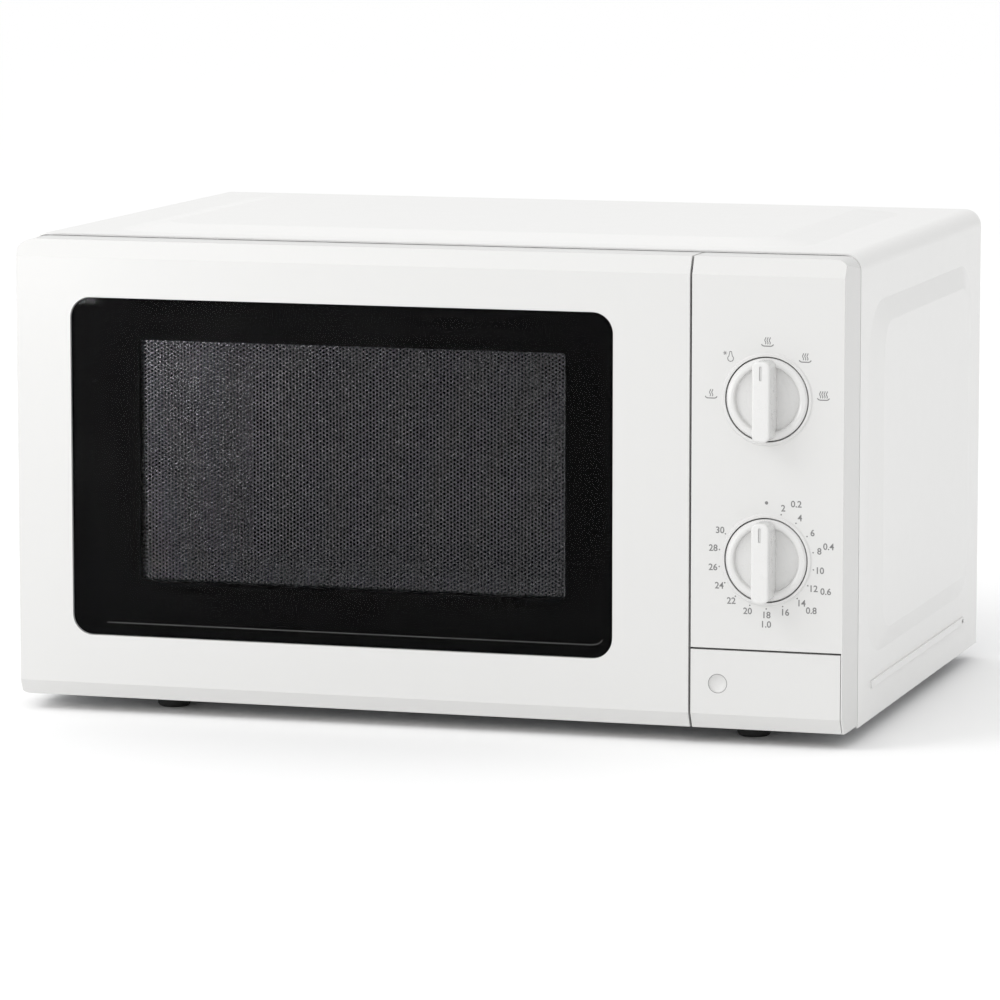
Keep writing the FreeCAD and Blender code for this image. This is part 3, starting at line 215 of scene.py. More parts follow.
def eased(node: str, width: float, segments: int = 2) -> bpy.types.Object:
    """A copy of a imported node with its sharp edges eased, which stands for the node.

    Args:
        node: the node's name.
        width: width of the eased edge, in millimetres.
        segments: steps across the eased edge.

    Returns:
        The new piece.
    """
    piece = copied(node, "eased")
    with editing(piece, "VERT"):
        bpy.ops.mesh.remove_doubles(threshold=CAD_DOUBLE)
        bpy.ops.mesh.customdata_custom_splitnormals_clear()
        bpy.ops.mesh.dissolve_limited(angle_limit=FLAT_ANGLE)
    modify(piece, "BEVEL", width=width * MM, segments=segments, limit_method="ANGLE",
           angle_limit=EDGE_ANGLE, use_clamp_overlap=True, miter_outer="MITER_ARC")
    smooth(piece)
    modify(piece, "WEIGHTED_NORMAL", keep_sharp=True, weight=60)
    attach(piece, frame["nodes"][node]["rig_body"])
    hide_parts(node)
    return piece


def ribbon(name: str, points: list[Vector], width: float, lift: float,
           closed: bool = False) -> bpy.types.Object:
    """A thin raised line on a face that looks forwards.

    Args:
        name: the piece's name.
        points: its path, in metres.
        width: width of the line, in millimetres.
        lift: how far it stands out of the face, in millimetres.
        closed: whether the path returns to its start.

    Returns:
        The line as a mesh.
    """
    curve = bpy.data.curves.new(name, "CURVE")
    curve.dimensions = "3D"
    curve.bevel_depth = width * MM / 2
    curve.bevel_resolution = 1
    curve.use_fill_caps = True
    spline = curve.splines.new("POLY")
    spline.points.add(len(points) - 1)
    spline.use_cyclic_u = closed
    depth = points[0].y
    for point, knot in zip(points, spline.points):
        knot.co = (point.x, 0, point.z, 1)
    obj = bpy.data.objects.new(name, curve)
    bpy.context.scene.collection.objects.link(obj)
    pick(obj)
    bpy.ops.object.convert(target="MESH")
    obj.scale.y = 2 * lift / width
    obj.location.y = depth
    settle(obj, name)
    tidy_normals(obj)
    smooth(obj, 60)
    return obj


def joined(name: str, pieces: list[bpy.types.Object]) -> bpy.types.Object:
    """Several meshes as one piece."""
    pick(*pieces)
    bpy.ops.object.join()
    pieces[0].name = pieces[0].data.name = name
    return pieces[0]


# ---------------------------------------------------------------- finishes


class Pattern(Enum):
    """What breaks up a surface."""

    GRAIN = "Fine grain"
    SPANGLE = "Zinc spangle"
    BANDS = "Fine bands"


FACTOR = 0
FLOAT_A, FLOAT_B = 2, 3
COLOUR_A, COLOUR_B, COLOUR_MIXED = 6, 7, 2
BROAD_SCALE = 0.07
BROAD_SHARE = 0.45
SOCKETS_IN = (
    ("Vector", "NodeSocketVector", (0.0, 0.0, 0.0)),
    ("Scale", "NodeSocketFloat", 500.0),
    ("Colour", "NodeSocketColor", (0.8, 0.8, 0.8, 1.0)),
    ("Second Colour", "NodeSocketColor", (0.7, 0.7, 0.7, 1.0)),
    ("Spread", "NodeSocketFloat", 0.5),
    ("Roughness", "NodeSocketFloat", 0.4),
    ("Roughness Spread", "NodeSocketFloat", 0.1),
)
SOCKETS_OUT = (
    ("Colour", "NodeSocketColor"),
    ("Roughness", "NodeSocketFloat"),
    ("Height", "NodeSocketFloat"),
)


def node_of(tree: bpy.types.NodeTree, kind: str, **settings: object) -> bpy.types.Node:
    """Add a shader node.

    Args:
        tree: the tree it goes into.
        kind: the node's class name after ShaderNode.
        settings: its properties.

    Returns:
        The node.
    """
    node = tree.nodes.new(f"ShaderNode{kind}")
    for key, value in settings.items():
        setattr(node, key, value)
    return node


def new_group(name: str, taken: tuple,
              given: tuple) -> tuple[bpy.types.NodeTree, bpy.types.Node, bpy.types.Node]:
    """An empty shader node group.

    Args:
        name: the group's name.
        taken: its inputs, each a name, a socket type and a value.
        given: its outputs, each a name and a socket type.

    Returns:
        The tree, its input node and its output node.
    """
    tree = bpy.data.node_groups.new(name, "ShaderNodeTree")
    for label, kind, value in taken:
        tree.interface.new_socket(label, in_out="INPUT", socket_type=kind).default_value = value
    for label, kind in given:
        tree.interface.new_socket(label, in_out="OUTPUT", socket_type=kind)
    return tree, tree.nodes.new("NodeGroupInput"), tree.nodes.new("NodeGroupOutput")


def pattern_group(pattern: Pattern) -> bpy.types.NodeTree:
    """The shared group that breaks a surface up in one way, made once.

    Args:
        pattern: which way.

    Returns:
        The group's tree.
    """
    if pattern.value in bpy.data.node_groups:
        return bpy.data.node_groups[pattern.value]
    tree, taken, given = new_group(pattern.value, SOCKETS_IN, SOCKETS_OUT)
    link = tree.links.new
    broad = node_of(tree, "TexNoise")
    broad.inputs["Detail"].default_value = 3.0
    coarser = node_of(tree, "Math", operation="MULTIPLY")
    coarser.inputs[1].default_value = BROAD_SCALE
    link(taken.outputs["Scale"], coarser.inputs[0])
    link(coarser.outputs[0], broad.inputs["Scale"])
    link(taken.outputs["Vector"], broad.inputs["Vector"])
    if pattern is Pattern.GRAIN:
        fine = node_of(tree, "TexNoise")
        fine.inputs["Detail"].default_value = 4.0
        value = fine.outputs["Fac"]
    elif pattern is Pattern.SPANGLE:
        fine = node_of(tree, "TexVoronoi", feature="F1")
        split = node_of(tree, "SeparateColor")
        link(fine.outputs["Color"], split.inputs[0])
        value = split.outputs[0]
    else:
        fine = node_of(tree, "TexWave", bands_direction="Z")
        fine.inputs["Distortion"].default_value = 0.4
        value = fine.outputs["Fac"]
    link(taken.outputs["Vector"], fine.inputs["Vector"])
    link(taken.outputs["Scale"], fine.inputs["Scale"])
    blend = node_of(tree, "Mix", data_type="FLOAT")
    blend.inputs[FACTOR].default_value = BROAD_SHARE
    link(value, blend.inputs[FLOAT_A])
    link(broad.outputs["Fac"], blend.inputs[FLOAT_B])
    share = node_of(tree, "Math", operation="MULTIPLY", use_clamp=True)
    link(blend.outputs[0], share.inputs[0])
    link(taken.outputs["Spread"], share.inputs[1])
    tint = node_of(tree, "Mix", data_type="RGBA")
    link(share.outputs[0], tint.inputs[FACTOR])
    link(taken.outputs["Colour"], tint.inputs[COLOUR_A])
    link(taken.outputs["Second Colour"], tint.inputs[COLOUR_B])
    centred = node_of(tree, "Math", operation="SUBTRACT")
    centred.inputs[1].default_value = 0.5
    link(blend.outputs[0], centred.inputs[0])
    rough = node_of(tree, "Math", operation="MULTIPLY_ADD", use_clamp=True)
    link(centred.outputs[0], rough.inputs[0])
    link(taken.outputs["Roughness Spread"], rough.inputs[1])
    link(taken.outputs["Roughness"], rough.inputs[2])
    link(tint.outputs[COLOUR_MIXED], given.inputs["Colour"])
    link(rough.outputs[0], given.inputs["Roughness"])
    link(blend.outputs[0], given.inputs["Height"])
    return tree


def edge_group() -> bpy.types.NodeTree:
    """The shared group that rounds an edge's light and lightens its colour, made once: partly rubbed wear,
    partly a painted highlight along the edge.
    """
    if "Rubbed edges" in bpy.data.node_groups:
        return bpy.data.node_groups["Rubbed edges"]
    tree, taken, given = new_group(
        "Rubbed edges",
        (("Radius", "NodeSocketFloat", 0.0003), ("Amount", "NodeSocketFloat", 0.3),
         ("Colour", "NodeSocketColor", (0.8, 0.8, 0.8, 1.0)),
         ("Edge Colour", "NodeSocketColor", (0.9, 0.9, 0.9, 1.0))),
        (("Colour", "NodeSocketColor"), ("Normal", "NodeSocketVector"), ("Mask", "NodeSocketFloat")))
    link = tree.links.new
    rounded = node_of(tree, "Bevel", samples=4)
    link(taken.outputs["Radius"], rounded.inputs["Radius"])
    surface = node_of(tree, "NewGeometry")
    along = node_of(tree, "VectorMath", operation="DOT_PRODUCT")
    link(rounded.outputs[0], along.inputs[0])
    link(surface.outputs["Normal"], along.inputs[1])
    turned = node_of(tree, "MapRange")
    turned.inputs["From Min"].default_value = 0.995
    turned.inputs["From Max"].default_value = 0.8
    link(along.outputs["Value"], turned.inputs["Value"])
    mask = node_of(tree, "Math", operation="MULTIPLY", use_clamp=True)
    link(turned.outputs[0], mask.inputs[0])
    link(taken.outputs["Amount"], mask.inputs[1])
    # Lighter colour along edges: partly rubbed wear, partly a painted highlight where edges catch light.
    tint = node_of(tree, "Mix", data_type="RGBA")
    link(mask.outputs[0], tint.inputs[FACTOR])
    link(taken.outputs["Colour"], tint.inputs[COLOUR_A])
    link(taken.outputs["Edge Colour"], tint.inputs[COLOUR_B])
    link(tint.outputs[COLOUR_MIXED], given.inputs["Colour"])
    link(rounded.outputs[0], given.inputs["Normal"])
    link(mask.outputs[0], given.inputs["Mask"])
    return tree


@dataclass(frozen=True)
class Finish:
    """A solid surface: what it is made of, its grain, and how its edges wear and take a painted highlight."""

    name: str
    colour: Colour
    second: Colour
    roughness: float = 0.4
    rough_spread: float = 0.12
    metallic: float = 0.0
    pattern: Pattern = Pattern.GRAIN
    scale: float = 900.0
    stretch: Colour = (1.0, 1.0, 1.0)
    spread: float = 0.5
    relief: float = 0.01
    # Edge colour, lighter than the body colour: partly wear, partly painted highlight.
    edge: Colour = (0.85, 0.85, 0.85)
    edge_amount: float = 0.25
    edge_radius: float = 0.3
    coat: float = 0.0
    specular: float = 0.5

    def material(self) -> bpy.types.Material:
        """The finish as a material, made once."""
        if self.name in bpy.data.materials:
            return bpy.data.materials[self.name]
        made = bpy.data.materials.new(self.name)
        made.use_nodes = True
        tree = made.node_tree
        link = tree.links.new
        shader = tree.nodes["Principled BSDF"]
        place = node_of(tree, "TexCoord")
        stretch = node_of(tree, "Mapping")
        stretch.inputs["Scale"].default_value = self.stretch
        link(place.outputs["Object"], stretch.inputs["Vector"])
        grain = node_of(tree, "Group", node_tree=pattern_group(self.pattern))
        link(stretch.outputs[0], grain.inputs["Vector"])
        grain.inputs["Scale"].default_value = self.scale
        grain.inputs["Colour"].default_value = (*self.colour, 1)
        grain.inputs["Second Colour"].default_value = (*self.second, 1)
        grain.inputs["Spread"].default_value = self.spread
        grain.inputs["Roughness"].default_value = self.roughness
        grain.inputs["Roughness Spread"].default_value = self.rough_spread
        edges = node_of(tree, "Group", node_tree=edge_group())
        edges.inputs["Radius"].default_value = self.edge_radius * MM
        edges.inputs["Amount"].default_value = self.edge_amount
        edges.inputs["Edge Colour"].default_value = (*self.edge, 1)
        link(grain.outputs["Colour"], edges.inputs["Colour"])
        relief = node_of(tree, "Bump")
        relief.inputs["Strength"].default_value = 1.0
        relief.inputs["Distance"].default_value = self.relief * MM
        link(grain.outputs["Height"], relief.inputs["Height"])
        link(edges.outputs["Normal"], relief.inputs["Normal"])
        link(edges.outputs["Colour"], shader.inputs["Base Color"])
        link(grain.outputs["Roughness"], shader.inputs["Roughness"])
        link(relief.outputs[0], shader.inputs["Normal"])
        shader.inputs["Metallic"].default_value = self.metallic
        shader.inputs["Coat Weight"].default_value = self.coat
        shader.inputs["Coat Roughness"].default_value = 0.15
        shader.inputs["Specular IOR Level"].default_value = self.specular
        return made


@dataclass(frozen=True)
class Glass:
    """A clear or tinted pane that lets the lamps through."""

    name: str
    colour: Colour
    through: Colour
    ior: float = 1.45
    roughness: float = 0.02
    rough_spread: float = 0.02
    scale: float = 60.0
    second_share: float = 0.96

    def material(self) -> bpy.types.Material:
        """The glass as a material, made once."""
        if self.name in bpy.data.materials:
            return bpy.data.materials[self.name]
        made = bpy.data.materials.new(self.name)
        made.use_nodes = True
        tree = made.node_tree
        link = tree.links.new
        shader = tree.nodes["Principled BSDF"]
        place = node_of(tree, "TexCoord")
        grain = node_of(tree, "Group", node_tree=pattern_group(Pattern.GRAIN))
        link(place.outputs["Object"], grain.inputs["Vector"])
        grain.inputs["Scale"].default_value = self.scale
        grain.inputs["Colour"].default_value = (*self.colour, 1)
        second = (self.second_share * part for part in self.colour)
        grain.inputs["Second Colour"].default_value = (*second, 1)
        grain.inputs["Roughness"].default_value = self.roughness
        grain.inputs["Roughness Spread"].default_value = self.rough_spread
        link(grain.outputs["Colour"], shader.inputs["Base Color"])
        link(grain.outputs["Roughness"], shader.inputs["Roughness"])
        shader.inputs["Transmission Weight"].default_value = 1.0
        shader.inputs["IOR"].default_value = self.ior
        clear = node_of(tree, "BsdfTransparent")
        clear.inputs[0].default_value = (*self.through, 1)
        path = node_of(tree, "LightPath")
        choose = node_of(tree, "MixShader")
        link(path.outputs["Is Shadow Ray"], choose.inputs[0])
        link(shader.outputs[0], choose.inputs[1])
        link(clear.outputs[0], choose.inputs[2])
        link(choose.outputs[0], tree.nodes["Material Output"].inputs["Surface"])
        return made


# Every finish's edge colour is lighter than its body colour: partly rubbed wear, partly painted highlight
# along edges.
WHITE_MOULDING = Finish("White moulding", (0.665, 0.663, 0.654), (0.635, 0.633, 0.624), 0.34, 0.10,
                        scale=2600, spread=0.35, relief=0.006, edge=(0.74, 0.74, 0.73), coat=0.05)
WHITE_KNOB = Finish("White knob plastic", (0.70, 0.698, 0.69), (0.67, 0.668, 0.66), 0.28, 0.08,
                    scale=3000, spread=0.3, relief=0.004, edge=(0.76, 0.76, 0.75), edge_radius=0.3, coat=0.1)
WHITE_PAINT = Finish("White sheet paint", (0.785, 0.783, 0.773), (0.745, 0.743, 0.735), 0.36, 0.14,
                     scale=1300, spread=0.4, relief=0.02, edge=(0.85, 0.85, 0.845), coat=0.12)
CAVITY_PAINT = Finish("Cavity enamel", (0.62, 0.62, 0.60), (0.55, 0.55, 0.54), 0.3, 0.15,
                      scale=1100, spread=0.5, relief=0.03, edge=(0.7, 0.7, 0.69), coat=0.25)
SCREEN_PAINT = Finish("Screen paint", (0.11, 0.11, 0.112), (0.08, 0.08, 0.082), 0.42, 0.15,
                      scale=2200, relief=0.01, edge=(0.16, 0.16, 0.16), edge_radius=0.15)
PIERCED_SHEET = Finish("Pierced sheet", (0.10, 0.10, 0.102), (0.07, 0.07, 0.072), 0.22, 0.05, 1.0,
                       scale=2200, relief=0.0, edge=(0.2, 0.2, 0.2), edge_amount=0.0, edge_radius=0.05)
BLACK_PRINT = Finish("Black print", (0.002, 0.002, 0.002), (0.004, 0.004, 0.004), 0.35, 0.1,
                     scale=1800, relief=0.004, edge=(0.006, 0.006, 0.006), specular=0.05)
LEDGE_PRINT = Finish("Satin black line", (0.05, 0.05, 0.05), (0.035, 0.035, 0.035), 0.3, 0.1,
                     scale=1800, relief=0.002, edge=(0.08, 0.08, 0.08))
CHOKE_PLASTIC = Finish("Dark choke plastic", (0.045, 0.046, 0.05), (0.06, 0.06, 0.065), 0.45, 0.15,
                       scale=1500, relief=0.02, edge=(0.1, 0.1, 0.1))
# Grey ink for the printed marks; on the thumb ring it is painted shade along the dish's rim.
INK_AND_RIM_SHADE = Finish("Grey ink and painted rim shade", (0.17, 0.17, 0.17), (0.24, 0.24, 0.24), 0.5, 0.1,
                  scale=5000, spread=0.7, relief=0.002, edge=(0.3, 0.3, 0.3), edge_radius=0.02)
# Grey piece in the grip grooves: painted shade for the shadow in the groove.
GROOVE_SHADE = Finish("Painted groove shade", (0.60, 0.60, 0.595), (0.56, 0.56, 0.555), 0.45, 0.1,
                      scale=4000, relief=0.003, edge=(0.6, 0.6, 0.6), edge_radius=0.05)
RUBBER = Finish("Black foot rubber", (0.012, 0.012, 0.012), (0.022, 0.022, 0.021), 0.7, 0.2,
                scale=2500, relief=0.03, edge=(0.05, 0.05, 0.05), edge_amount=0.4)
ZINC = Finish("Zinc-coated steel", (0.56, 0.57, 0.58), (0.42, 0.43, 0.45), 0.38, 0.25, 1.0,
              Pattern.SPANGLE, 140.0, spread=0.8, relief=0.006, edge=(0.75, 0.76, 0.77), edge_amount=0.5)
STEEL = Finish("Bright steel", (0.62, 0.62, 0.61), (0.5, 0.5, 0.5), 0.28, 0.18, 1.0,
               scale=1600, stretch=(1, 8, 8), relief=0.004, edge=(0.8, 0.8, 0.8), edge_amount=0.5)
SPRING_STEEL = Finish("Spring steel", (0.4, 0.4, 0.42), (0.3, 0.31, 0.34), 0.32, 0.15, 1.0,
                      scale=2600, relief=0.003, edge=(0.7, 0.7, 0.7), edge_amount=0.5, edge_radius=0.1)
ALUMINIUM = Finish("Aluminium", (0.78, 0.78, 0.79), (0.66, 0.66, 0.68), 0.3, 0.2, 1.0,
                   scale=1500, stretch=(8, 1, 1), relief=0.004, edge=(0.9, 0.9, 0.9), edge_amount=0.4)
LAMINATION = Finish("Core laminations", (0.2, 0.19, 0.18), (0.08, 0.075, 0.07), 0.5, 0.2, 0.8,
                    Pattern.BANDS, 600.0, spread=0.9, relief=0.08, edge=(0.5, 0.5, 0.5), edge_amount=0.5)
COPPER = Finish("Enamelled copper", (0.62, 0.23, 0.1), (0.3, 0.09, 0.04), 0.3, 0.2, 0.9,
                Pattern.BANDS, 500.0, spread=0.8, relief=0.12, edge=(0.8, 0.4, 0.2))
MICA = Finish("Mica sheet", (0.52, 0.46, 0.35), (0.36, 0.31, 0.23), 0.32, 0.2,
              pattern=Pattern.SPANGLE, scale=260.0, spread=0.8, relief=0.01, edge=(0.6, 0.55, 0.45), coat=0.2)
NATURAL_PLASTIC = Finish("Natural plastic", (0.66, 0.65, 0.6), (0.6, 0.59, 0.54), 0.45, 0.12,
                         scale=1600, relief=0.01, edge=(0.75, 0.74, 0.7))
GREY_PLASTIC = Finish("Grey plastic", (0.2, 0.2, 0.205), (0.15, 0.15, 0.155), 0.45, 0.15,
                      scale=1500, relief=0.02, edge=(0.3, 0.3, 0.3))
BLACK_PLASTIC = Finish("Black plastic", (0.02, 0.02, 0.021), (0.03, 0.03, 0.032), 0.42, 0.16,
                       scale=1500, relief=0.02, edge=(0.07, 0.07, 0.07), edge_amount=0.4)
BOARD = Finish("Board laminate", (0.33, 0.22, 0.09), (0.2, 0.13, 0.05), 0.45, 0.2,
               scale=700, stretch=(1, 1, 6), relief=0.01, edge=(0.5, 0.4, 0.25))
BRASS = Finish("Plated bell metal", (0.66, 0.6, 0.45), (0.52, 0.46, 0.34), 0.26, 0.15, 1.0,
               scale=900, relief=0.004, edge=(0.85, 0.8, 0.65), edge_amount=0.5)
FLOOR_PAPER = Finish("Studio paper", (0.96, 0.96, 0.96), (0.94, 0.94, 0.94), 0.85, 0.1,
                     scale=3, spread=0.3, relief=0.0, edge=(0.93, 0.93, 0.93), edge_amount=0.0, specular=0.1)
WINDOW_GLASS = Glass("Window glass", (0.62, 0.62, 0.63), (0.62, 0.62, 0.63), 1.08, 0.01)
TRAY_GLASS = Glass("Tray glass", (0.93, 0.96, 0.95), (0.9, 0.93, 0.92), 1.47, 0.03)
BULB_GLASS = Glass("Bulb glass", (0.97, 0.97, 0.96), (0.95, 0.95, 0.95), 1.45, 0.02)


def dress(obj: bpy.types.Object, finish: Finish | Glass) -> None:
    """Give an object one finish all over.

    Args:
        obj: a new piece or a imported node's object.
        finish: the finish.
    """
    if "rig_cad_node" in obj:
        for holder in obj.material_slots:
            holder.link = "OBJECT"
            holder.material = finish.material()
        return
    obj.data.materials.clear()
    obj.data.materials.append(finish.material())


def dress_nodes(finish: Finish | Glass, *names: str) -> None:
    """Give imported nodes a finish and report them."""
    for name in names:
        dress(frame["nodes"][name], finish)
        log.info("%s: %s", name, finish.name)


def dress_eased(finish: Finish | Glass, width: float, *names: str) -> None:
    """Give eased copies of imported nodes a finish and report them."""
    for name in names:
        dress(eased(name, width), finish)
        log.info("%s: eased by %.2f mm, %s", name, width, finish.name)


def dress_spring(node: str, joint: str, travel: float) -> None:
    """Dress a copy of a spring in its node's place and report how far the spring shortens towards its
    anchored end as a joint moves.

    Args:
        node: the spring's node.
        joint: the joint that presses it.
        travel: how much shorter it gets, in millimetres.
    """
    spring = copied(node, "pressed")
    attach(spring, frame["nodes"][node]["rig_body"])
    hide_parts(node)
    dress(spring, SPRING_STEEL)
    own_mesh(spring)
    log.info("%s: shortens by %.1f mm with %s, %s", spring.name, travel, joint, SPRING_STEEL.name)


def show(piece: bpy.types.Object, body: str, finish: Finish | Glass) -> None:
    """Fasten a new piece to its body, dress it and report it."""
    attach(piece, body)
    dress(piece, finish)
    log.info("%s: rides on %s, %d faces, %s", piece.name, body, len(piece.data.polygons), finish.name)


# ---------------------------------------------------------------- sub-assemblies


@dataclass
class Casing:
    """Cover, base, rear panel, feet, screws and the sheet that the door closes on."""

    def build(self) -> None:
        """Dress the casing."""
        dress_nodes(WHITE_PAINT, "outer_cover")
        dress_nodes(WHITE_PAINT, "front_frame")
        dress_nodes(ZINC, "base_plate", "motor_hatch", "rear_panel")
        dress_eased(RUBBER, 0.8, "foot_front_left", "foot_front_right", "foot_rear_left", "foot_rear_right")
        dress_nodes(STEEL, "case_screws")
        dress_nodes(BLACK_PLASTIC, "cord_gland")


@dataclass
class DoorScreen:
    """The pierced sheet that is seen through the window."""

    pitch: float = 2.1
    bar: float = 0.44
    thickness: float = 0.55
    left: float = -159.0
    right: float = 79.6
    low: float = 60.2
    high: float = 193.6
    depth: float = 6.4

    def field_part(self, name: str, left: float, right: float) -> bpy.types.Object:
        """One half of the pierced field.

        Args:
            name: the piece's name.
            left: its left edge, in millimetres.
            right: its right edge, in millimetres.

        Returns:
            The pierced sheet.
        """
        bpy.ops.mesh.primitive_circle_add(
            vertices=6, radius=self.pitch / math.sqrt(3) * MM, fill_type="NGON",
            location=at(left, self.depth, self.low), rotation=(STANDING, math.radians(30), 0))
        cell = settle(bpy.context.object, name)
        with editing(cell):
            bpy.ops.mesh.inset(thickness=self.bar * MM)
            select_faces(cell, lambda face: len(face.vertices) == 6)
            bpy.ops.mesh.delete(type="FACE")
        column = self.pitch * math.sqrt(3) / 2
        rows = math.ceil((self.high - self.low) / self.pitch) + 2
        pairs = math.ceil((right - left) / column / 2) + 1
        with editing(cell):
            bpy.ops.mesh.duplicate()
            bpy.ops.transform.translate(value=(column * MM, 0, self.pitch / 2 * MM))
            bpy.ops.mesh.select_all(action="SELECT")
            bpy.ops.transform.translate(value=(0, 0, -self.pitch / 2 * MM))
        for count, step in ((rows, (0, 0, self.pitch * MM)), (pairs, (2 * column * MM, 0, 0))):
            modify(cell, "ARRAY", count=count, use_relative_offset=False, use_constant_offset=True,
                   constant_offset_displace=step)
        with editing(cell):
            bpy.ops.mesh.remove_doubles(threshold=CELL_DOUBLE)
        for x, z, side in ((left, self.low, (-1, 0, 0)), (right, self.low, (1, 0, 0)),
                           (left, self.low, (0, 0, -1)), (left, self.high, (0, 0, 1))):
            with editing(cell):
                bpy.ops.mesh.bisect(plane_co=at(x, 0, z), plane_no=side, clear_outer=True)
        modify(cell, "SOLIDIFY", thickness=self.thickness * MM, offset=0)
        cell.location.y = self.thickness / 2 * MM
        settle(cell, name)
        tidy_normals(cell)
        return cell

    def border(self) -> bpy.types.Object:
        """The pressed inner panel with the pierced field's place cut out."""
        panel = eased("door_screen", 0.2, 1)
        bpy.ops.mesh.primitive_cube_add(size=1, location=at(
            (self.left + self.right) / 2, self.depth, (self.low + self.high) / 2))
        cutter = bpy.context.object
        cutter.scale = ((self.right - self.left) * MM, 4 * MM, (self.high - self.low) * MM)
        settle(cutter, "field_cutter")
        modify(panel, "BOOLEAN", operation="DIFFERENCE", object=cutter, solver="EXACT")
        bpy.data.objects.remove(cutter)
        return panel

    def build(self) -> None:
        """Make the pierced sheet and its pressed border."""
        pair = self.pitch * math.sqrt(3)
        middle = self.left + pair * round((self.right - self.left) / 2 / pair)
        for name, left, right in (("screen_field_left", self.left, middle),
                                  ("screen_field_right", middle, self.right)):
            show(self.field_part(name, left, right), "door", PIERCED_SHEET)
        dress(self.border(), SCREEN_PAINT)


@dataclass
class Door:
    """Door moulding, window, screen, choke ring and hooks."""

    screen: DoorScreen = field(default_factory=DoorScreen)
    ledge_left: float = -174.0
    ledge_right: float = 90.0
    ledge_height: float = 40.5
    ledge_depth: float = 0.6
    ledge_width: float = 0.6
    ledge_lift: float = 0.25
    curl_reach: float = 6.4
    curl_rise: float = 2.9
    hook_travel: float = 4.5

    def ledge(self) -> bpy.types.Object:
        """The fine moulded line low on the window, curling up at its right end."""
        flat = [at(self.ledge_left + (self.ledge_right - self.ledge_left) * i / 12, self.ledge_depth,
                   self.ledge_height) for i in range(13)]
        turns = [math.radians(15 * i) for i in range(1, 7)]
        curl = [at(self.ledge_right + self.curl_reach * math.sin(turn), self.ledge_depth,
                   self.ledge_height + self.curl_rise * (1 - math.cos(turn))) for turn in turns]
        return ribbon("window_ledge", flat + curl, self.ledge_width, self.ledge_lift)

    def build(self) -> None:
        """Make and dress the door."""
        dress_nodes(WHITE_MOULDING, "door_frame")
        dress_eased(WINDOW_GLASS, 0.3, "door_glass")
        dress_nodes(BLACK_PRINT, "window_mask", "window_retainer")
        self.screen.build()
        dress_eased(CHOKE_PLASTIC, 0.5, "choke_cover")
        dress_nodes(NATURAL_PLASTIC, "door_hooks")
        dress_spring("hook_spring", "hook_lift", self.hook_travel)
        show(self.ledge(), "door", LEDGE_PRINT)


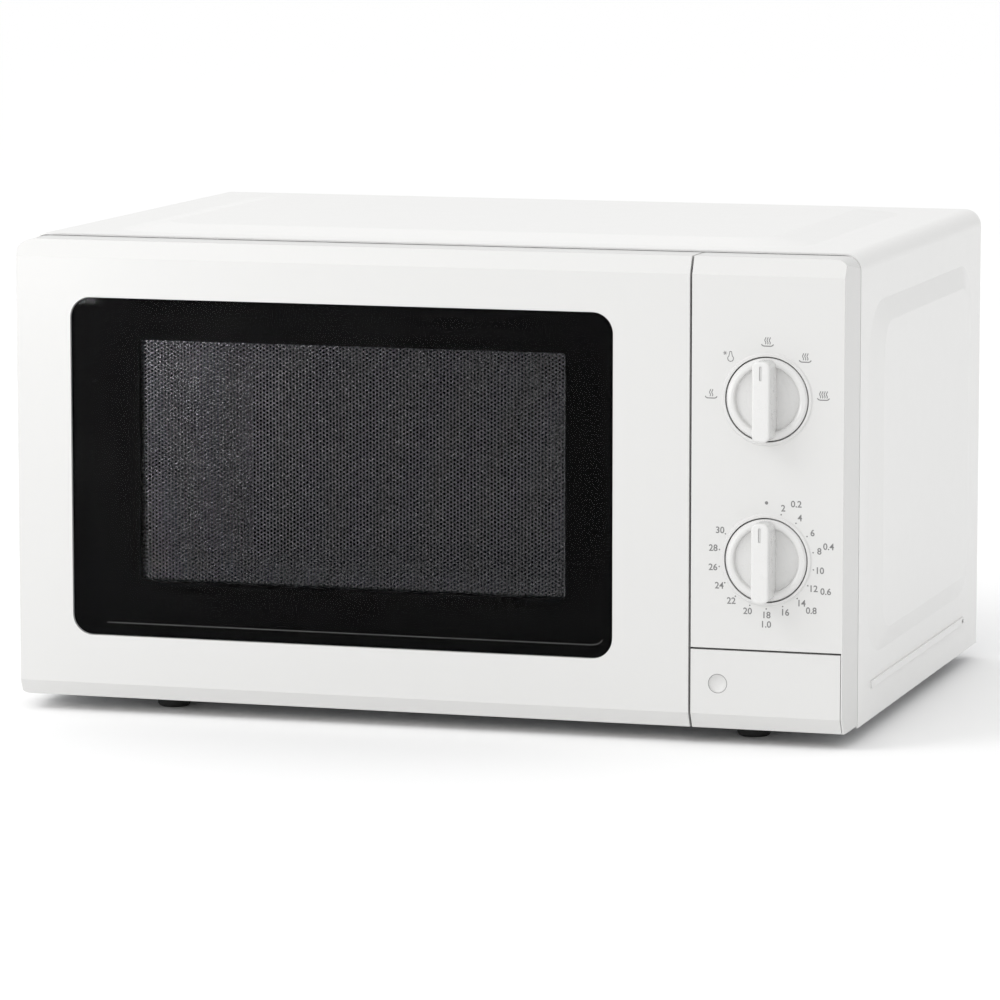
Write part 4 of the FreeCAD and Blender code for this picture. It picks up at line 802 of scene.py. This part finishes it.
@dataclass
class PrintedMarks:
    """Ink on the control panel: the timer's numerals and ticks, and the power dial's little pictures."""

    figure: float = 4.7
    inner: float = 28.2
    ticks: float = 24.9
    icons: float = 29.3
    lift: float = 0.03
    stroke: float = 0.085
    tick_radius: float = 0.4
    zero_radius: float = 0.9
    zero_beyond: float = 1.2
    minute: float = 10.1
    start: float = -2.2
    weights: tuple[tuple[str, float, float], ...] = (
        ("0.2", 28.0, 33.0), ("0.4", 76.0, 33.4), ("0.6", 115.6, 34.5), ("0.8", 136.5, 34.4),
        ("1.0", 180.0, 33.0))
    thaw_turn: float = -43.5
    dishes: tuple[tuple[float, int], ...] = ((-86.0, 2), (0.0, 3), (42.0, 3), (84.5, 4))

    def numeral(self, text: str, centre: Vector) -> bpy.types.Object:
        """A printed number.

        Args:
            text: its digits.
            centre: its middle, in metres.

        Returns:
            The number as a mesh.
        """
        bpy.ops.object.text_add()
        obj = bpy.context.object
        obj.data.body = text
        obj.data.size = self.figure * MM
        obj.data.align_x, obj.data.align_y = "CENTER", "CENTER"
        obj.data.extrude = self.lift * MM
        obj.data.resolution_u = 3
        obj.data.offset = self.stroke * MM
        pick(obj)
        bpy.ops.object.convert(target="MESH")
        obj.rotation_euler.x = STANDING
        obj.location = centre
        return settle(obj, "numeral")

    def round_dial(self, centre: Vector, reach: float, degrees: float) -> Vector:
        """A point on a circle round a dial, turned clockwise from its top."""
        turn = math.radians(degrees)
        return centre + Vector((math.sin(turn), 0, math.cos(turn))) * reach * MM

    def turn_of(self, minute: int) -> float:
        """Degrees clockwise from the top at which a minute is printed."""
        return self.start + self.minute * minute

    def timer_print(self, centre: Vector) -> bpy.types.Object:
        """Numerals, weights and ticks round the timer dial."""
        made = [self.numeral(str(minute), self.round_dial(centre, self.inner, self.turn_of(minute)))
                for minute in range(2, 31, 2)]
        made += [self.numeral(text, self.round_dial(centre, reach, turn))
                 for text, turn, reach in self.weights]
        spots = [(self.round_dial(centre, self.inner + self.zero_beyond, 0), self.zero_radius)]
        spots += [(self.round_dial(centre, self.ticks, self.turn_of(minute)), self.tick_radius)
                  for minute in range(2, 31, 2)]
        for place, radius in spots:
            bpy.ops.mesh.primitive_cylinder_add(vertices=12, radius=radius * MM, depth=2 * self.lift * MM,
                                                location=place, rotation=(STANDING, 0, 0))
            made.append(settle(bpy.context.object, "spot"))
        return joined("timer_marks", made)

    def steaming_dish(self, name: str, centre: Vector, plumes: int) -> list[bpy.types.Object]:
        """A dish with wavy plumes of steam over it.

        Args:
            name: start of its lines' names.
            centre: its middle, in metres.
            plumes: how many plumes.

        Returns:
            Its lines.
        """
        dish = [centre + Vector((x, 0, z)) * MM for x, z in (
            (-3.1, -1.3), (-2.7, -1.9), (-1.9, -2.25), (1.9, -2.25), (2.7, -1.9), (3.1, -1.3))]
        lines = [ribbon(f"{name}_dish", dish, 0.65, self.lift)]
        for index in range(plumes):
            middle = (index - (plumes - 1) / 2) * 1.15
            wave = [centre + Vector((middle + 0.28 * math.sin(2 * math.pi * step / 6), 0,
                                     -1.3 + 3.6 * step / 8)) * MM for step in range(9)]
            lines.append(ribbon(f"{name}_plume{index}", wave, 0.55, self.lift))
        return lines

    def thawing_drop(self, centre: Vector) -> list[bpy.types.Object]:
        """A drop with a small ice star beside it."""
        drop = []
        for step in range(20):
            turn = 2 * math.pi * step / 20
            pull = 2.4 if math.cos(turn) > 0.9 else 1.0
            drop.append(centre + Vector((1.0 + 1.5 * math.sin(turn), 0,
                                         -1.0 + 1.5 * pull * math.cos(turn))) * MM)
        lines = [ribbon("thaw_drop", drop, 0.5, self.lift, closed=True)]
        star = centre + Vector((-1.9, 0, 1.7)) * MM
        for step in range(3):
            arm = Vector((math.cos(math.pi * step / 3), 0, math.sin(math.pi * step / 3))) * 1.1 * MM
            lines.append(ribbon(f"thaw_star{step}", [star - arm, star + arm], 0.4, self.lift))
        return lines

    def power_print(self, centre: Vector) -> bpy.types.Object:
        """The pictures round the power dial."""
        lines = self.thawing_drop(self.round_dial(centre, self.icons, self.thaw_turn))
        for turn, plumes in self.dishes:
            lines += self.steaming_dish(f"power{plumes}", self.round_dial(centre, self.icons, turn), plumes)
        return joined("power_marks", lines)

    def build(self) -> None:
        """Print both dials' marks."""
        power, timer = (Vector((middle_of(node).x, FACE, middle_of(node).z))
                        for node in ("power_knob", "timer_knob"))
        show(self.power_print(power), "cabinet", INK_AND_RIM_SHADE)
        show(self.timer_print(timer), "cabinet", INK_AND_RIM_SHADE)


@dataclass
class Controls:
    """Control panel, release plate, dials and their marks, with painted shade in the grip grooves and round
    the thumb mark.
    """

    marks: PrintedMarks = field(default_factory=PrintedMarks)
    dimple_x: float = 157.8
    dimple_z: float = 23.7
    dimple_radius: float = 4.85
    ring_width: float = 0.35
    ring_lift: float = 0.03
    ring_points: int = 48
    pointer_depth: float = 0.62
    pointer_height: float = 14.5
    pointer_size: tuple[float, float, float] = (1.2, 0.3, 7.0)
    plate_travel: float = 4.0

    def pointer(self, knob: str, body: str) -> None:
        """A grey piece in a grip's groove: painted shade standing for the groove's shadow."""
        low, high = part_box(knob)
        centre = Vector((middle_of(knob).x, low.y + self.pointer_depth * MM,
                         middle_of(knob).z + self.pointer_height * MM))
        bpy.ops.mesh.primitive_cube_add(size=1, location=centre)
        shade_fill = bpy.context.object
        shade_fill.scale = tuple(side * MM for side in self.pointer_size)
        settle(shade_fill, f"{knob}_pointer")
        with editing(shade_fill, "EDGE"):
            bpy.ops.mesh.bevel(offset=0.1 * MM, segments=2)
        show(shade_fill, body, GROOVE_SHADE)

    def dimple_ring(self) -> bpy.types.Object:
        """A fine dark ring round the thumb mark: painted shade along the dish's rim."""
        turns = [2 * math.pi * i / self.ring_points for i in range(self.ring_points)]
        ring = [at(self.dimple_x + self.dimple_radius * math.sin(turn), 0,
                   self.dimple_z + self.dimple_radius * math.cos(turn)) for turn in turns]
        return ribbon("thumb_ring", ring, self.ring_width, self.ring_lift, closed=True)

    def build(self) -> None:
        """Make and dress the controls."""
        dress_nodes(WHITE_MOULDING, "control_panel", "release_plate")
        dress_nodes(WHITE_KNOB, "power_knob", "timer_knob")
        dress_nodes(STEEL, "power_shaft", "timer_shaft")
        dress_spring("plate_spring", "release_plate_press",
                     self.plate_travel)
        # Grey pieces in the grip grooves are painted shade.
        self.pointer("power_knob", "power_dial")
        self.pointer("timer_knob", "timer_dial")
        # The thumb ring is painted shade along the dish's rim.
        show(self.dimple_ring(), "release_plate", INK_AND_RIM_SHADE)
        self.marks.build()


@dataclass
class Cavity:
    """Cooking space with its lamp and wave cover, and the turntable in it."""

    def build(self) -> None:
        """Dress the cavity and the turntable."""
        dress_nodes(CAVITY_PAINT, "cavity_shell", "cavity_back")
        dress_nodes(MICA, "waveguide_cover")
        dress_nodes(NATURAL_PLASTIC, "lamp_socket", "turntable_coupler", "roller_ring",
                    "roller_1", "roller_2", "roller_3")
        dress_nodes(BULB_GLASS, "lamp_bulb")
        dress_nodes(TRAY_GLASS, "glass_tray")
        dress_nodes(ZINC, "turntable_motor")


@dataclass
class Machinery:
    """Everything behind the control panel, and the hinges."""

    def build(self) -> None:
        """Dress the working parts."""
        dress_nodes(STEEL, "hinge_lower", "hinge_upper", "capacitor_strap", "thermal_cutouts")
        dress_nodes(NATURAL_PLASTIC, "latch_board", "release_lever")
        dress_nodes(BLACK_PLASTIC, "door_switches", "high_voltage_diode", "fan_blades")
        dress_nodes(GREY_PLASTIC, "timer_unit", "power_selector", "fan_shroud")
        dress_nodes(BRASS, "timer_bell")
        dress_nodes(ZINC, "waveguide", "magnetron_body", "magnetron_filter_box")
        dress_nodes(ALUMINIUM, "magnetron_fins", "capacitor")
        dress_nodes(LAMINATION, "transformer_core", "fan_motor")
        dress_nodes(COPPER, "transformer_windings")
        dress_nodes(BOARD, "filter_board")


# ---------------------------------------------------------------- studio


@dataclass
class Studio:
    """Pale floor, soft light and the camera."""

    floor_side: float = 24.0
    lens: float = 201.22
    eye: tuple[float, float, float] = (0.8616, -2.8790, 0.5011)
    turn: tuple[float, float, float] = (82.414, 0.0, 16.742)
    sun_side: tuple[float, float, float] = (-0.62, -0.5, 0.6)
    sky_bright: float = 1.23
    sky_dim: float = 0.62
    aim: tuple[float, float, float] = (0, 0, 0.12)
    key_place: tuple[float, float, float] = (-1.5, -1.5, 2.0)
    key_power: float = 15.0
    key_size: float = 1.2
    low_place: tuple[float, float, float] = (-0.65, -1.25, 0.15)
    low_power: float = 1.1
    low_size: float = 0.1

    def floor(self) -> None:
        """A pale sheet of paper under the oven."""
        bpy.ops.mesh.primitive_plane_add(size=self.floor_side)
        sheet = bpy.context.object
        with editing(sheet):
            bpy.ops.mesh.subdivide(number_cuts=6)
        settle(sheet, "studio_floor")
        dress(sheet, FLOOR_PAPER)

    def lamp(self, name: str, place: tuple[float, float, float], power: float, size: float) -> None:
        """A soft square lamp aimed at the oven."""
        bpy.ops.object.light_add(type="AREA", location=place)
        lamp = bpy.context.object
        lamp.name = name
        lamp.data.energy = power
        lamp.data.size = size
        lamp.rotation_euler = (Vector(self.aim) - Vector(place)).to_track_quat("-Z", "Y").to_euler()

    def sky(self) -> None:
        """A white surround, brighter towards the front left and dimmer behind on the right."""
        world = bpy.data.worlds.new("Studio white")
        world.use_nodes = True
        tree = world.node_tree
        place = node_of(tree, "TexCoord")
        along = node_of(tree, "VectorMath", operation="DOT_PRODUCT")
        along.inputs[1].default_value = Vector(self.sun_side).normalized()
        tree.links.new(place.outputs["Generated"], along.inputs[0])
        level = node_of(tree, "MapRange")
        level.inputs["From Min"].default_value = -1.0
        level.inputs["To Min"].default_value = self.sky_dim
        level.inputs["To Max"].default_value = self.sky_bright
        tree.links.new(along.outputs["Value"], level.inputs["Value"])
        tree.links.new(level.outputs[0], tree.nodes["Background"].inputs["Strength"])
        tree.nodes["Background"].inputs["Color"].default_value = (1, 1, 1, 1)
        bpy.context.scene.world = world

    def camera(self) -> None:
        """The camera, from the front, a little to the right and above."""
        bpy.ops.object.camera_add(location=self.eye, rotation=tuple(math.radians(a) for a in self.turn))
        camera = bpy.context.object
        camera.data.lens = self.lens
        camera.data.sensor_width = 36
        camera.data.clip_start, camera.data.clip_end = 0.1, 60
        bpy.context.scene.camera = camera

    def build(self) -> None:
        """Set the studio up."""
        bpy.context.scene.view_settings.view_transform = "Standard"
        self.floor()
        self.lamp("key_lamp", self.key_place, self.key_power, self.key_size)
        self.lamp("low_lamp", self.low_place, self.low_power, self.low_size)
        self.sky()
        self.camera()
        log.info("studio: floor, lamps, surround and camera")


def main() -> None:
    """Build every sub-assembly in order."""
    logging.basicConfig(level=logging.INFO, format="%(name)s %(message)s")
    for part in (Casing(), Door(), Controls(), Cavity(), Machinery(), Studio()):
        part.build()


if __name__ == "__main__":
    main()
